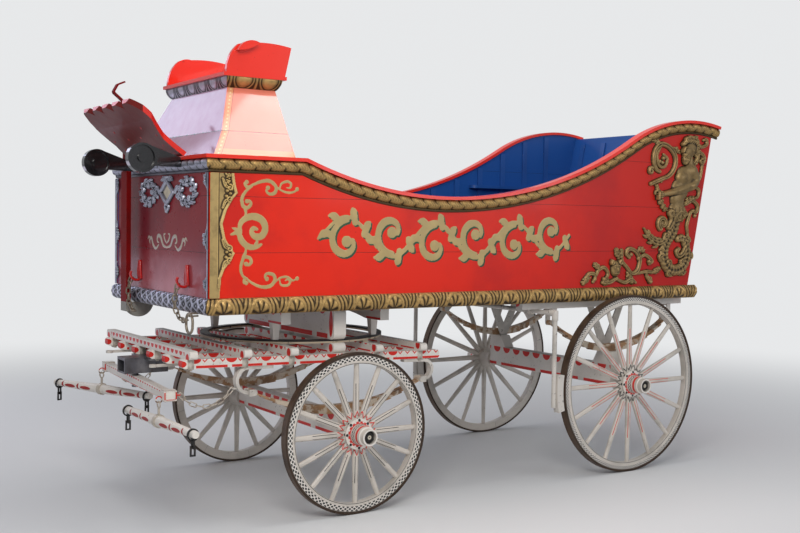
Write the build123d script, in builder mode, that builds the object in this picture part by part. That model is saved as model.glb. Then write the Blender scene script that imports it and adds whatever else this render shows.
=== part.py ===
"""A horse-drawn parade wagon with a swept-up body, a driver's seat and a turning front gear.

Millimetres. +X points forwards, +Y to the wagon's left, +Z up. The origin is on the ground,
under the middle of the wagon's length. Every drawing plane below starts on the ground under
the front axle, so its first coordinate is the distance ahead of the front axle.
"""
import os
from math import asin, atan, cos, degrees, radians, sin, sqrt, tan

from build123d import *

os.makedirs("parts", exist_ok=True)

# Overall layout
wheelbase = 2132
front_wheel_r = 457
rear_wheel_r = 592
foremost_x = 1194
rearmost_x = -3038
front_axle_x = -(foremost_x + rearmost_x) / 2

# Clearances
running_gap = 0.1
seat_gap = 0.3
chain_gap = 0.5
eye_gap = 2.1

# Body shell
body_half = 716
body_front_x = 867
board = 22
floor_low_z = 1150
floor_thick = 25
level_top_z = 1993
sweep_low_x = -660
sweep_low_z = 1806
front_sweep_r = 2557
rear_sweep_r = 2990
rear_sweep_angle = 30.6
tail_r = 1180
rake_low_x = -2743
rake_low_z = 1145
rake_high_x = -2989
rake_high_z = 2385
back_wall_top_z = 2340
cap_thick = 20
cap_inner_y = body_half - 34
cap_overhang = 30
bulkhead_x = 316
floor_lining = 12
batten_thick = 12
rib_thick = 12

# Mouldings
roll_height = 56
roll_bulge = 24
roll_facets = 4
bead_height = 18
bead_bulge = 10
sill_height = 90
sill_bulge = 28
sill_low_z = 1145
sill_rear_x = -2828

# Springs and wheels across the wagon
spring_inset = 116
rear_spring_y = body_half - spring_inset
wheel_out = 99
rim_outer_y = body_half + wheel_out

# Front gear
bar_rise = 0.020
bar_mid_z = 865
bar_size = 50
bar_count = 6
gear_spring_y = rear_spring_y
bar_pitch = 2 * gear_spring_y / (bar_count - 1)
bar_front_x = 975
bar_rear_x = -690
crossbar_size = 46
crossbar_half = body_half - 48
crossbar_places = (925, 610, 325, -235, -545)
ring_r = 560
ring_width = 50
ring_thick = 10
ring_low_z = 946
kingpin_r = 16
bolster_half = gear_spring_y
bolster_width = 80

# Axles, wheels and springs
arm_r = 25
hub_in_y = rim_outer_y - 141
hub_out_y = rim_outer_y + 134
tyre_width = 52
tyre_thick = 12
felloe_depth = 50
felloe_width = 44
spoke_count = 16
leaf_thick = 8
leaf_width = 56

# Draft gear
evener_x = 998
evener_half = 650
evener_low_z = 698
evener_height = 56
evener_width = 54
tree_x = 1046
tree_y = 600
tree_z = 590
tree_half = 440
link_wire = 6
# How the bars hang at rest, turned from square across the wagon
evener_turn = -4.2
tree_turns = {1: 3.1, -1: 21.9}


def side_view(y=0):
    """Across the wagon at y: first forwards, then up. It extrudes towards the right."""
    return Plane(origin=(front_axle_x, y, 0), x_dir=(1, 0, 0), z_dir=(0, -1, 0))


def top_view(z=0):
    """Level at z: first forwards, then left. It extrudes upwards."""
    return Plane(origin=(front_axle_x, 0, z), x_dir=(1, 0, 0), z_dir=(0, 0, 1))


def end_view(x=0):
    """Crosswise, x ahead of the front axle: first left, then up. It extrudes forwards."""
    return Plane(origin=(front_axle_x + x, 0, 0), x_dir=(0, 1, 0), z_dir=(1, 0, 0))


def at(x, y, z):
    """A place x ahead of the front axle."""
    return (front_axle_x + x, y, z)


def write(name, piece):
    piece.label = name
    export_step(piece, f"parts/{name}.step")


def rake_x(z):
    """Where the body's leaning rear edge stands at height z."""
    lean = (rake_high_x - rake_low_x) / (rake_high_z - rake_low_z)
    return rake_low_x + lean * (z - rake_low_z)


def bar_top_z(x):
    """The top of the gear's long bars, which rise slightly towards the front."""
    return bar_mid_z + bar_rise * x + bar_size / 2


def top_line(drop, front_x):
    """The swept top of a side, drop below its cap: level, dipping, rising and curling over."""
    centre_z = sweep_low_z + front_sweep_r
    start_z = level_top_z - drop
    radius = front_sweep_r + drop
    start_x = sweep_low_x + sqrt(radius ** 2 - (centre_z - start_z) ** 2)
    turn = degrees(asin((start_x - sweep_low_x) / radius))
    tail_x = sweep_low_x - (rear_sweep_r + tail_r) * sin(radians(rear_sweep_angle))
    tail_turn = degrees(asin((tail_x - rearmost_x) / tail_r))
    heading = (-cos(radians(turn)), -sin(radians(turn)))
    with BuildLine() as line:
        Line((front_x, start_z), (start_x, start_z))
        dip = JernArc((start_x, start_z), heading, radius, -turn)
        rise = JernArc(dip @ 1, dip % 1, rear_sweep_r + drop, -rear_sweep_angle)
        JernArc(rise @ 1, rise % 1, tail_r - drop, rear_sweep_angle + tail_turn)
    return line.line


def band(upper, lower, y_from, y_to, front_x):
    """A strip that follows the side's top between two drops, from y_from to y_to."""
    high = top_line(upper, front_x)
    low = top_line(lower, front_x)
    with BuildPart() as strip:
        with BuildSketch(side_view(y_to)):
            with BuildLine():
                add(high)
                add(low)
                Line(high @ 0, low @ 0)
                Line(high @ 1, low @ 1)
            make_face()
        extrude(amount=y_to - y_from)
    return strip.part


def roll_section(height, bulge, bead=0):
    """A moulding's section, flat on the panel: a roll of flat facets, with a small bead under it."""
    radius = (height ** 2 / 4 + bulge ** 2) / (2 * bulge)
    half_turn = asin(height / 2 / radius)
    corners = []
    for number in range(roll_facets + 1):
        turn = half_turn * (2 * number / roll_facets - 1)
        corners.append((radius * cos(turn) - radius + bulge, radius * sin(turn)))
    with BuildSketch() as section:
        with BuildLine():
            Polyline(*corners, close=True)
        make_face()
        if bead:
            with Locations((bead_bulge / 2, -(height + bead) / 2)):
                Rectangle(bead_bulge, bead)
    return section.sketch


def box_between(low, high):
    """A block between two corners, given ahead of the front axle."""
    with BuildPart(top_view(low[2])) as block:
        with Locations(((low[0] + high[0]) / 2, (low[1] + high[1]) / 2)):
            size = (high[0] - low[0], high[1] - low[1], high[2] - low[2])
            Box(*size, align=(Align.CENTER, Align.CENTER, Align.MIN))
    return block.part


def tapered_block(levels, inset=0):
    """A block with flat faces through levels of height, rear x, front x and half width."""
    rear_x = min(level[1] for level in levels)
    front_x = max(level[2] for level in levels)
    widest = max(level[3] for level in levels)
    with BuildPart() as block:
        with BuildSketch(side_view(widest)):
            with BuildLine():
                rears = [(rear + inset, z) for z, rear, front, half in levels]
                fronts = [(front - inset, z) for z, rear, front, half in levels]
                Polyline(*rears, *reversed(fronts), close=True)
            make_face()
        extrude(amount=2 * widest)
        with BuildSketch(end_view(rear_x)):
            with BuildLine():
                lefts = [(half - inset, z) for z, rear, front, half in levels]
                rights = [(inset - half, z) for z, rear, front, half in levels]
                Polyline(*lefts, *reversed(rights), close=True)
            make_face()
        extrude(amount=front_x - rear_x, mode=Mode.INTERSECT)
    return block.part


def mirrored(piece):
    """The same piece on the wagon's other side."""
    return mirror(piece, about=Plane.XZ)


def pair(piece):
    return Compound(children=[piece, mirrored(piece)])


# Body shell

floor_top_z = floor_low_z + floor_thick
floor_base_z = floor_top_z - floor_lining
inner_y = body_half - board


def side_panel():
    """One side board, cut to the sweep on top and to the rake behind."""
    top = top_line(cap_thick, body_front_x)
    with BuildPart() as panel:
        with BuildSketch(side_view(body_half)):
            with BuildLine():
                add(top)
                Polyline(top @ 0, (body_front_x, floor_low_z), (rearmost_x, floor_low_z), top @ 1)
            make_face()
            with BuildLine():
                behind = rearmost_x - body_half
                high_z = rake_high_z + body_half
                Polyline(
                    (rake_x(0), 0),
                    (rake_x(high_z), high_z),
                    (behind, high_z),
                    (behind, 0),
                    close=True,
                )
            make_face(mode=Mode.SUBTRACT)
        extrude(amount=board)
    return panel.part


left_side = side_panel()
write("left_side", left_side)
write("right_side", mirrored(left_side))

deck_low_z = level_top_z - cap_thick
with BuildPart() as front_wall:
    with BuildSketch(end_view(body_front_x - board)):
        with Locations((0, (floor_low_z + deck_low_z) / 2)):
            Rectangle(2 * inner_y, deck_low_z - floor_low_z)
    extrude(amount=board)
write("front_wall", front_wall.part)

with BuildPart() as back_wall:
    with BuildSketch(side_view(inner_y)):
        with BuildLine():
            Polyline(
                (rake_x(floor_low_z), floor_low_z),
                (rake_x(back_wall_top_z), back_wall_top_z),
                (rake_x(back_wall_top_z) + board, back_wall_top_z),
                (rake_x(floor_low_z) + board, floor_low_z),
                close=True,
            )
        make_face()
    extrude(amount=2 * inner_y)
write("back_wall", back_wall.part)

with BuildPart() as floor:
    with BuildSketch(side_view(inner_y)):
        with BuildLine():
            Polyline(
                (body_front_x - board, floor_low_z),
                (body_front_x - board, floor_base_z),
                (rake_x(floor_base_z) + board, floor_base_z),
                (rake_x(floor_low_z) + board, floor_low_z),
                close=True,
            )
        make_face()
    extrude(amount=2 * inner_y)
    lining_half = inner_y - batten_thick - seat_gap
    lining_front_x = bulkhead_x - seat_gap
    lining_rear = board + rib_thick + seat_gap
    with BuildSketch(side_view(lining_half)):
        with BuildLine():
            Polyline(
                (lining_front_x, floor_base_z),
                (lining_front_x, floor_top_z),
                (rake_x(floor_top_z) + lining_rear, floor_top_z),
                (rake_x(floor_base_z) + lining_rear, floor_base_z),
                close=True,
            )
        make_face()
    extrude(amount=2 * lining_half)
write("floor", floor.part)

write("bulkhead", box_between(
    (bulkhead_x, -inner_y, floor_base_z),
    (bulkhead_x + board, inner_y, deck_low_z),
))

front_cap_x = body_front_x + cap_overhang
deck_corner_x = body_front_x - (body_half - cap_inner_y)
with BuildPart() as front_deck:
    with BuildSketch(top_view(deck_low_z)):
        with BuildLine():
            Polyline(
                (bulkhead_x, -cap_inner_y),
                (deck_corner_x, -cap_inner_y),
                (front_cap_x, -body_half - cap_overhang),
                (front_cap_x, body_half + cap_overhang),
                (deck_corner_x, cap_inner_y),
                (bulkhead_x, cap_inner_y),
                close=True,
            )
        make_face()
    extrude(amount=cap_thick)

# The floor's long bearers
bearer_y = rear_spring_y
bearer_width = 64
bearer_height = 52
bearer_front_x = -1330
bearer_rear_x = -2790
bearer_low_z = floor_low_z - bearer_height
bearer = box_between(
    (bearer_rear_x, bearer_y - bearer_width / 2, bearer_low_z),
    (bearer_front_x, bearer_y + bearer_width / 2, floor_low_z),
)


# Rails and mouldings that follow the sides

def mitre(piece):
    """Cut a side moulding at the front corner, where it meets the front's moulding."""
    corner = Plane(origin=at(body_front_x, body_half, 0), x_dir=(1, 1, 0), z_dir=(-1, 1, 0))
    return split(piece, bisect_by=corner, keep=Keep.TOP)


left_cap = mitre(band(0, cap_thick, cap_inner_y, body_half + cap_overhang, front_cap_x))
write("cap_rail", front_deck.part + left_cap + mirrored(left_cap))


def side_roll(drop, height, bulge, bead):
    """A rounded moulding swept along a side, its back flat on the panel."""
    line = top_line(drop + height / 2, body_front_x + bulge)
    path = line.moved(side_view(body_half).location)
    start = path @ 0
    with BuildPart() as roll:
        with BuildSketch(end_view(body_front_x + bulge)):
            with Locations((body_half, start.Z)):
                add(roll_section(height, bulge, bead))
        sweep(path=path, transition=Transition.RIGHT)
    return mitre(roll.part)


def straight_roll(middle_z, height, bulge, rear_x):
    """A rounded moulding straight along a side, back to rear_x."""
    with BuildPart() as roll:
        with BuildSketch(end_view(rear_x)):
            with Locations((body_half, middle_z)):
                add(roll_section(height, bulge))
        extrude(amount=body_front_x + bulge - rear_x)
    return mitre(roll.part)


def front_roll(middle_z, height, bulge, bead=0):
    """The same moulding across the front, mitred at both corners."""
    with BuildPart() as roll:
        with BuildSketch(side_view(body_half + bulge)):
            with Locations((body_front_x, middle_z)):
                add(roll_section(height, bulge, bead))
        extrude(amount=2 * (body_half + bulge))
    corner = Plane(origin=at(body_front_x, body_half, 0), x_dir=(1, 1, 0), z_dir=(1, -1, 0))
    half_cut = split(roll.part, bisect_by=corner, keep=Keep.TOP)
    other = Plane(origin=at(body_front_x, -body_half, 0), x_dir=(1, -1, 0), z_dir=(1, 1, 0))
    return split(half_cut, bisect_by=other, keep=Keep.TOP)


bead_drop = cap_thick + roll_height
left_roll = side_roll(cap_thick, roll_height, roll_bulge, bead_height)
write("side_top_rolls", pair(left_roll))

sill_mid_z = sill_low_z + sill_height / 2
left_sill = straight_roll(sill_mid_z, sill_height, sill_bulge, sill_rear_x)
write("side_sill_rolls", pair(left_sill))

front_roll_z = level_top_z - cap_thick - roll_height / 2
write("front_rolls", Compound(children=[
    front_roll(front_roll_z, roll_height, roll_bulge, bead_height),
    front_roll(sill_mid_z, sill_height, sill_bulge),
]))


# Corner strips

strip_width = 62
strip_thick = 12
strip_low_z = sill_low_z + sill_height
strip_high_z = level_top_z - bead_drop - bead_height - seat_gap
strip_swell = 34
strip_curls = 3


def corner_strip(plane, direction, width, swell):
    """A flat strip up a front corner, its inner edge cut to hollows between curls."""
    span = (strip_high_z - strip_low_z) / strip_curls
    with BuildPart() as strip:
        with BuildSketch(plane):
            with BuildLine():
                corner = (0, strip_low_z)
                Polyline((direction * width, strip_low_z), corner, (0, strip_high_z))
                Line((0, strip_high_z), (direction * (width + swell), strip_high_z))
                for number in range(strip_curls):
                    high = strip_high_z - number * span
                    low = high - span
                    hollow = (direction * width, (high + low) / 2)
                    start = (direction * (width + swell), high)
                    end = (direction * (width + swell), low)
                    ThreePointArc(start, hollow, end)
                Line((direction * (width + swell), strip_low_z), (direction * width, strip_low_z))
            make_face()
        extrude(amount=strip_thick)
    return strip.part


side_strip_plane = Plane(
    origin=at(body_front_x, body_half + strip_thick, 0), x_dir=(1, 0, 0), z_dir=(0, -1, 0)
)
left_strip = corner_strip(side_strip_plane, -1, strip_width, strip_swell)
front_strip_plane = Plane(
    origin=at(body_front_x, body_half, 0), x_dir=(0, 1, 0), z_dir=(1, 0, 0)
)
front_strip_width = 18
left_front_strip = corner_strip(front_strip_plane, -1, front_strip_width, strip_swell)
corner_post = box_between(
    (body_front_x, body_half, strip_low_z),
    (body_front_x + strip_thick, body_half + strip_thick, strip_high_z),
)
write("corner_strips", pair(left_strip + left_front_strip + corner_post))


# Inside of the load space

batten_width = 42
batten_pitch = 220
batten_rear_x = -2640
batten_count = 13
ledge_z = 1915
ledge_thick = 22
ledge_width = 60
ledge_front_x = -1880


def sweep_z(x):
    """The cap's top over the rear of the load space, on the two rear arcs."""
    turn = radians(rear_sweep_angle)
    bend_x = sweep_low_x - rear_sweep_r * sin(turn)
    bend_z = sweep_low_z + rear_sweep_r * (1 - cos(turn))
    if x > sweep_low_x:
        return sweep_low_z + front_sweep_r - sqrt(front_sweep_r ** 2 - (x - sweep_low_x) ** 2)
    if x > bend_x:
        return sweep_low_z + rear_sweep_r - sqrt(rear_sweep_r ** 2 - (x - sweep_low_x) ** 2)
    tail_x = bend_x - tail_r * sin(turn)
    tail_z = bend_z + tail_r * (1 - cos(turn)) - tail_r
    return tail_z + sqrt(tail_r ** 2 - (x - tail_x) ** 2)


battens = []
for number in range(batten_count):
    x = batten_rear_x + number * batten_pitch
    clear = cap_thick + batten_width * 0.35
    high_z = min(sweep_z(x - batten_width / 2), sweep_z(x + batten_width / 2)) - clear
    low = (x - batten_width / 2, inner_y - batten_thick, floor_base_z)
    if x < ledge_front_x:
        battens.append(box_between(low, (x + batten_width / 2, inner_y, ledge_z)))
        low = (low[0], low[1], ledge_z + ledge_thick)
    battens.append(box_between(low, (x + batten_width / 2, inner_y, high_z)))

ledge_rear_x = rake_x(ledge_z) + board
with BuildPart() as ledge:
    with BuildSketch(top_view(ledge_z)):
        with Locations(((ledge_front_x + ledge_rear_x) / 2, inner_y - ledge_width / 2)):
            Rectangle(ledge_front_x - ledge_rear_x, ledge_width)
        fillet(vertices().group_by(Axis.X)[-1].sort_by(Axis.Y)[0], ledge_width * 0.6)
    extrude(amount=ledge_thick)
with BuildPart() as ledge_cut:
    with BuildSketch(side_view(inner_y)):
        with BuildLine():
            high_z = ledge_z + ledge_thick
            Polyline(
                (rake_x(ledge_z) + board, ledge_z),
                (rake_x(high_z) + board, high_z),
                (ledge_front_x, high_z),
                (ledge_front_x, ledge_z),
                close=True,
            )
        make_face()
    extrude(amount=ledge_width)
side_frame = ledge.part & ledge_cut.part
for batten in battens:
    side_frame += batten

rib_count = 6
rib_width = 46
ribs = []
for number in range(rib_count):
    y = (number - (rib_count - 1) / 2) * 2 * inner_y / rib_count
    with BuildPart() as rib:
        with BuildSketch(side_view(y + rib_width / 2)):
            with BuildLine():
                high_z = back_wall_top_z - rib_width
                Polyline(
                    (rake_x(floor_base_z) + board, floor_base_z),
                    (rake_x(high_z) + board, high_z),
                    (rake_x(high_z) + board + rib_thick, high_z),
                    (rake_x(floor_base_z) + board + rib_thick, floor_base_z),
                    close=True,
                )
            make_face()
        extrude(amount=rib_width)
    ribs.append(rib.part)
write("inner_battens", Compound(children=[side_frame, mirrored(side_frame)] + ribs))


# Driver's seat

riser_wall = 18
riser_rear_x = 334
# height, rear x, front x, half width
riser_levels = (
    (level_top_z, riser_rear_x, 822, 668),
    (2131, riser_rear_x, 736, 574),
    (2385, riser_rear_x, 631, 407),
)
egg_height = 60
egg_flare = 46
seat_board_thick = 20
seat_half = 454
seat_front_x = 671
seat_rear_x = 284
arm_y = 421
arm_thick = 25
back_thick = 20
back_height = 160
lip_reach = 42

write("seat_riser", tapered_block(riser_levels) - tapered_block(riser_levels, riser_wall))

egg_low_z, egg_rear_x, egg_front_x, egg_half = riser_levels[-1]
seat_board_z = egg_low_z + egg_height
egg_levels = (
    riser_levels[-1],
    (seat_board_z, egg_rear_x - egg_flare / 2, egg_front_x + egg_flare / 2, egg_half + egg_flare),
)
egg_opening = box_between(
    (egg_rear_x + riser_wall, riser_wall - egg_half, egg_low_z),
    (egg_front_x - riser_wall, egg_half - riser_wall, seat_board_z),
)
write("seat_moulding", tapered_block(egg_levels) - egg_opening)

seat_top_z = seat_board_z + seat_board_thick
seat_board = box_between(
    (seat_rear_x, -seat_half, seat_board_z),
    (seat_front_x, seat_half, seat_top_z),
)


def above_seat(x, height):
    """A point of the seat's side view, x ahead of the axle and a height above the seat's top."""
    return (x, seat_top_z + height)


arm_front_x = seat_front_x - 19
arm_rear_x = seat_rear_x + 7
arm_curl = above_seat(arm_front_x - 71, back_height)
arm_back_top = above_seat(arm_rear_x - 38, back_height + 7)
with BuildPart() as seat_arm:
    with BuildSketch(side_view(arm_y + arm_thick)):
        with BuildLine():
            ThreePointArc(above_seat(arm_front_x, 0), above_seat(arm_front_x - 16, 85), arm_curl)
            ThreePointArc(arm_curl, above_seat(430, back_height + 20), arm_back_top)
            Polyline(arm_back_top, above_seat(arm_rear_x, 0), above_seat(arm_front_x, 0))
        make_face()
    extrude(amount=arm_thick)

back_foot_x = seat_rear_x + 10
back_head_x = back_foot_x - 38
with BuildPart() as seat_back:
    with BuildSketch(side_view(arm_y)):
        with BuildLine():
            Polyline(
                above_seat(back_foot_x, 0),
                above_seat(back_head_x, back_height),
                above_seat(back_head_x + back_thick, back_height + 3),
                above_seat(back_foot_x + back_thick, 0),
                close=True,
            )
        make_face()
    extrude(amount=2 * arm_y)
write("seat_back", seat_back.part)

lip_front = above_seat(arm_front_x - 52, back_height - 39)
lip_rear = above_seat(arm_front_x - 182, back_height + 11)
with BuildPart() as arm_lip:
    with BuildSketch(side_view(arm_y + arm_thick + lip_reach)):
        with BuildLine():
            ThreePointArc(lip_front, above_seat(arm_front_x - 117, back_height - 27), lip_rear)
            ThreePointArc(lip_rear, above_seat(arm_front_x - 107, back_height + 15), lip_front)
        make_face()
    extrude(amount=lip_reach)
write("seat_arms", pair(seat_arm.part + arm_lip.part))

plank_thick = 24
seat_plank = box_between(
    (seat_rear_x + 34, -arm_y, seat_top_z),
    (seat_rear_x + 250, arm_y, seat_top_z + plank_thick),
)
write("seat_board", seat_board + seat_plank)


# Footboard

foot_thick = 26
foot_low = (884, level_top_z + seat_gap)
foot_bend = (1085, 2176)
foot_tip = (foremost_x, 2262)
foot_half = 412
# distance forwards, half width
foot_edge = (
    (870, 412), (935, 396), (991, 386), (1040, 420), (1085, 456), (1129, 446), (1158, 416),
)
foot_lobes = 5

with BuildPart() as footboard:
    with BuildSketch(side_view(foot_half + 60)):
        with BuildLine():
            lower = ThreePointArc(foot_low, (991, 2080), foot_bend)
            upper = ThreePointArc(foot_bend, (1142, 2226), foot_tip)
            back_low = (foot_low[0] - foot_thick * 0.6, foot_low[1] + foot_thick * 0.8)
            back_bend = (foot_bend[0] - foot_thick * 0.7, foot_bend[1] + foot_thick * 0.7)
            back_tip = (foot_tip[0] - foot_thick * 0.45, foot_tip[1] + foot_thick * 0.9)
            Line(foot_tip, back_tip)
            ThreePointArc(back_tip, (1122, 2246), back_bend)
            ThreePointArc(back_bend, (974, 2100), back_low)
            Line(back_low, foot_low)
        make_face()
    extrude(amount=2 * (foot_half + 60))
    with BuildSketch(top_view(foot_low[1] - 10)):
        with BuildLine():
            Polyline(*foot_edge)
            lobe = 2 * foot_edge[-1][1] / foot_lobes
            for number in range(foot_lobes):
                start_y = foot_edge[-1][1] - number * lobe
                middle = (foremost_x + 2, start_y - lobe / 2)
                last_x = foot_edge[-1][0]
                ThreePointArc((last_x, start_y), middle, (last_x, start_y - lobe))
            Polyline(*[(x, -half) for x, half in reversed(foot_edge)])
            Line((foot_edge[0][0], -foot_edge[0][1]), (foot_edge[0][0], foot_edge[0][1]))
        make_face()
    extrude(amount=400, mode=Mode.INTERSECT)
write("footboard", footboard.part)

bracket_y = 402
bracket_thick = 46
bracket_low_z = 1932
volute_r = 80
volute_rim = 12
volute_eye_r = 24
volute_sink = 12
volute_mid = (foremost_x - volute_r - 2, 1976)
bracket_rear_x = front_cap_x + seat_gap
bracket_high_z = level_top_z - 8


def volute_hollow(outer_y):
    """The hollow between a bracket's round rim and its raised eye, down from outer_y."""
    with BuildPart() as hollow:
        with BuildSketch(side_view(outer_y)):
            with Locations(volute_mid):
                Circle(volute_r - volute_rim)
                Circle(volute_eye_r, mode=Mode.SUBTRACT)
        extrude(amount=volute_sink)
    return hollow.part


with BuildPart() as bracket:
    with BuildSketch(side_view(bracket_y)):
        with BuildLine():
            Polyline(
                (bracket_rear_x, bracket_low_z),
                (bracket_rear_x, bracket_high_z),
                (volute_mid[0] - volute_r * 0.5, volute_mid[1] + volute_r * 0.866),
                volute_mid,
                (volute_mid[0] - volute_r * 0.866, volute_mid[1] - volute_r * 0.5),
                close=True,
            )
        make_face()
        with Locations(volute_mid):
            Circle(volute_r)
    extrude(amount=bracket_thick)
for outer_y in (bracket_y, bracket_y - bracket_thick + volute_sink):
    bracket.part -= volute_hollow(outer_y)
write("footboard_brackets", pair(bracket.part))


# Chains

def link_plate(length, width, wire, cut=0.3):
    """One flat link, long along X, its outer corners cut off by a share of its width."""
    with BuildPart() as link:
        with BuildSketch():
            Rectangle(length, width)
            if cut:
                chamfer(vertices(), width * cut)
            Rectangle(length - 2 * wire, width - 2 * wire, mode=Mode.SUBTRACT)
        extrude(amount=wire / 2, both=True)
    return link.part


def chain(start, end, count, sag, width=26, wire=link_wire, cut=0.3):
    """Links hung from start to end on a shallow arc, each turned a quarter from the last."""
    start = Vector(*start)
    span = Vector(*end) - start
    reach = span.length
    along = span.normalized()
    down = Vector(0, 0, -1)
    down = (down - along * down.dot(along)).normalized() if abs(along.Z) < 0.99 else Vector(0, 1, 0)
    radius = (reach ** 2 / 4 + sag ** 2) / (2 * sag)
    half_turn = 2 * atan(2 * sag / reach)
    pitch = 2 * radius * sin(half_turn / count)
    plate = link_plate(pitch + 2 * wire + chain_gap, width, wire, cut)
    centre = start + span / 2 - down * (radius - sag)

    def place(turn):
        return centre + along * (radius * sin(turn)) + down * (radius * cos(turn))

    links = []
    for number in range(count):
        first = place(-half_turn + 2 * half_turn * number / count)
        second = place(-half_turn + 2 * half_turn * (number + 1) / count)
        direction = (second - first).normalized()
        across = along.cross(down)
        upright = across if number % 2 == 0 else direction.cross(across)
        middle = (first + second) / 2
        spot = Plane(origin=middle, x_dir=direction, z_dir=upright)
        links.append(plate.moved(spot.location))
    return links


# Hooks and chains on the front wall

hook_y = (-288, 440)
hook_z = 1345
hook_length = 120
hook_thick = 14
hook_width = 34
prong = 10
prong_z = 1300
chain_top_x = body_front_x + sill_bulge + 24
end_link_length = 117
end_link_width = 52
end_link_wire = 9
# y, number of links, length
hung_chains = ((hook_y[0], 6, 186), (hook_y[1], 6, 172))
hook_chains = []
for y, count, length in hung_chains:
    plate = box_between(
        (body_front_x, y - hook_width / 2, hook_z - hook_length / 2),
        (body_front_x + hook_thick, y + hook_width / 2, hook_z + hook_length / 2),
    )
    arm = box_between(
        (body_front_x, y - prong / 2, prong_z - prong),
        (chain_top_x + prong, y + prong / 2, prong_z),
    )
    tip = box_between(
        (chain_top_x + prong, y - prong / 2, prong_z - prong),
        (chain_top_x + 2 * prong, y + prong / 2, prong_z + prong),
    )
    hook_chains.append(plate + arm + tip)
    end_z = prong_z - length
    hook_chains += chain(at(chain_top_x, y, prong_z), at(chain_top_x, y, end_z), count, 0.2)
    if y == hook_y[1]:
        end_link = link_plate(end_link_length, end_link_width, end_link_wire)
        middle_z = end_z - end_link_length / 2 + end_link_wire + chain_gap
        hung = Plane(origin=at(chain_top_x, y, middle_z), x_dir=(0, 0, 1), z_dir=(1, 0, 0))
        hook_chains.append(end_link.moved(hung.location))
write("front_chains", Compound(children=hook_chains))


# Brake lever and its quadrant, ahead of the right of the front wall

lever_y = -388
lever_width = 96
lever_thick = 28
lever_x = 912
lever_low_z = 1090
lever_high_z = bracket_low_z - seat_gap
quadrant_r = 92
quadrant_high_z = sill_low_z - seat_gap
quadrant_mid = (846, quadrant_high_z)
quadrant_thick = 22
with BuildPart() as brake_lever:
    with BuildSketch(end_view(lever_x)):
        with Locations((lever_y, (lever_low_z + lever_high_z) / 2)):
            Rectangle(lever_width, lever_high_z - lever_low_z)
    extrude(amount=lever_thick)
    with BuildSketch(side_view(lever_y + quadrant_thick / 2)):
        with BuildLine():
            CenterArc(quadrant_mid, quadrant_r, 180, 180)
            rear_x = quadrant_mid[0] - quadrant_r
            Line((rear_x, quadrant_high_z), (quadrant_mid[0] + quadrant_r, quadrant_high_z))
        make_face()
        with Locations((quadrant_mid[0] - quadrant_r / 2, (quadrant_high_z + floor_low_z) / 2)):
            Rectangle(quadrant_r * 0.8, floor_low_z - quadrant_high_z)
    extrude(amount=quadrant_thick)
write("brake_lever", brake_lever.part)

handle_y = -421
handle_width = 36
handle_thick = 10
handle_x = lever_x + lever_thick / 2
with BuildPart() as brake_pedal:
    with BuildLine() as handle_path:
        FilletPolyline(
            at(handle_x, handle_y, lever_high_z + seat_gap),
            at(handle_x, handle_y, 2345),
            at(handle_x + 72, handle_y, 2404),
            at(handle_x + 46, handle_y, 2450),
            at(handle_x + 2, handle_y, 2470),
            radius=12,
        )
    with BuildSketch(top_view(lever_high_z + seat_gap)):
        with Locations((handle_x, handle_y)):
            Rectangle(handle_thick, handle_width)
    sweep(path=handle_path.line)
write("brake_pedal", brake_pedal.part)


# Carvings: the front's cartouche and the reliefs at the rear of the sides

cartouche_y = 140
cartouche_z = 1800
cartouche_thick = 22
wreath_reach = 295
wreath_half = (138, 85)
wreath_band = 42
mirror_half = (112, 78)
mirror_frame = 0.58
mirror_sink = 10
with BuildPart() as front_cartouche:
    with BuildSketch(end_view(body_front_x)):
        for side in (1, -1):
            with Locations((cartouche_y + side * wreath_reach, cartouche_z)):
                Ellipse(*wreath_half)
                Ellipse(*[half - wreath_band for half in wreath_half], mode=Mode.SUBTRACT)
        with Locations((cartouche_y, cartouche_z)):
            Rectangle(2 * (wreath_reach - wreath_half[0]) + wreath_band, wreath_band)
        with BuildLine():
            Polyline(
                (cartouche_y - mirror_half[0], cartouche_z),
                (cartouche_y, cartouche_z + mirror_half[1]),
                (cartouche_y + mirror_half[0], cartouche_z),
                (cartouche_y, cartouche_z - mirror_half[1]),
                close=True,
            )
        make_face()
    extrude(amount=cartouche_thick)
    with BuildSketch(end_view(body_front_x + cartouche_thick - mirror_sink)):
        with BuildLine():
            Polyline(
                (cartouche_y - mirror_half[0] * mirror_frame, cartouche_z),
                (cartouche_y, cartouche_z + mirror_half[1] * mirror_frame),
                (cartouche_y + mirror_half[0] * mirror_frame, cartouche_z),
                (cartouche_y, cartouche_z - mirror_half[1] * mirror_frame),
                close=True,
            )
        make_face()
    extrude(amount=mirror_sink, mode=Mode.SUBTRACT)
write("front_cartouche", front_cartouche.part)

# x, z, outer radius, inner radius, thickness
carved_rings = (
    (-2632, 1464, 146, 84, 34),
    (-2487, 2100, 128, 88, 26),
    (-2262, 1405, 78, 40, 26),
)
# x, z, radius, then x, z, radius, thickness
carved_limbs = (
    (-2752, 2195, 52, -2770, 2080, 34, 46),
    (-2768, 2010, 84, -2622, 1770, 60, 46),
    (-2622, 1770, 60, -2570, 1600, 44, 40),
    (-2800, 1960, 40, -2490, 1868, 26, 46),
    (-2470, 1905, 24, -2360, 1780, 16, 26),
    (-2480, 1650, 60, -2330, 1625, 20, 26),
    (-2880, 2240, 26, -2862, 1800, 18, 26),
    (-2080, 1378, 60, -2080, 1330, 36, 40),
    (-1790, 1266, 14, -1900, 1320, 30, 26),
    (-1900, 1320, 30, -2060, 1275, 26, 26),
    (-2340, 1390, 34, -2450, 1310, 22, 26),
    (-2340, 1330, 30, -2370, 1268, 22, 26),
)


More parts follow.
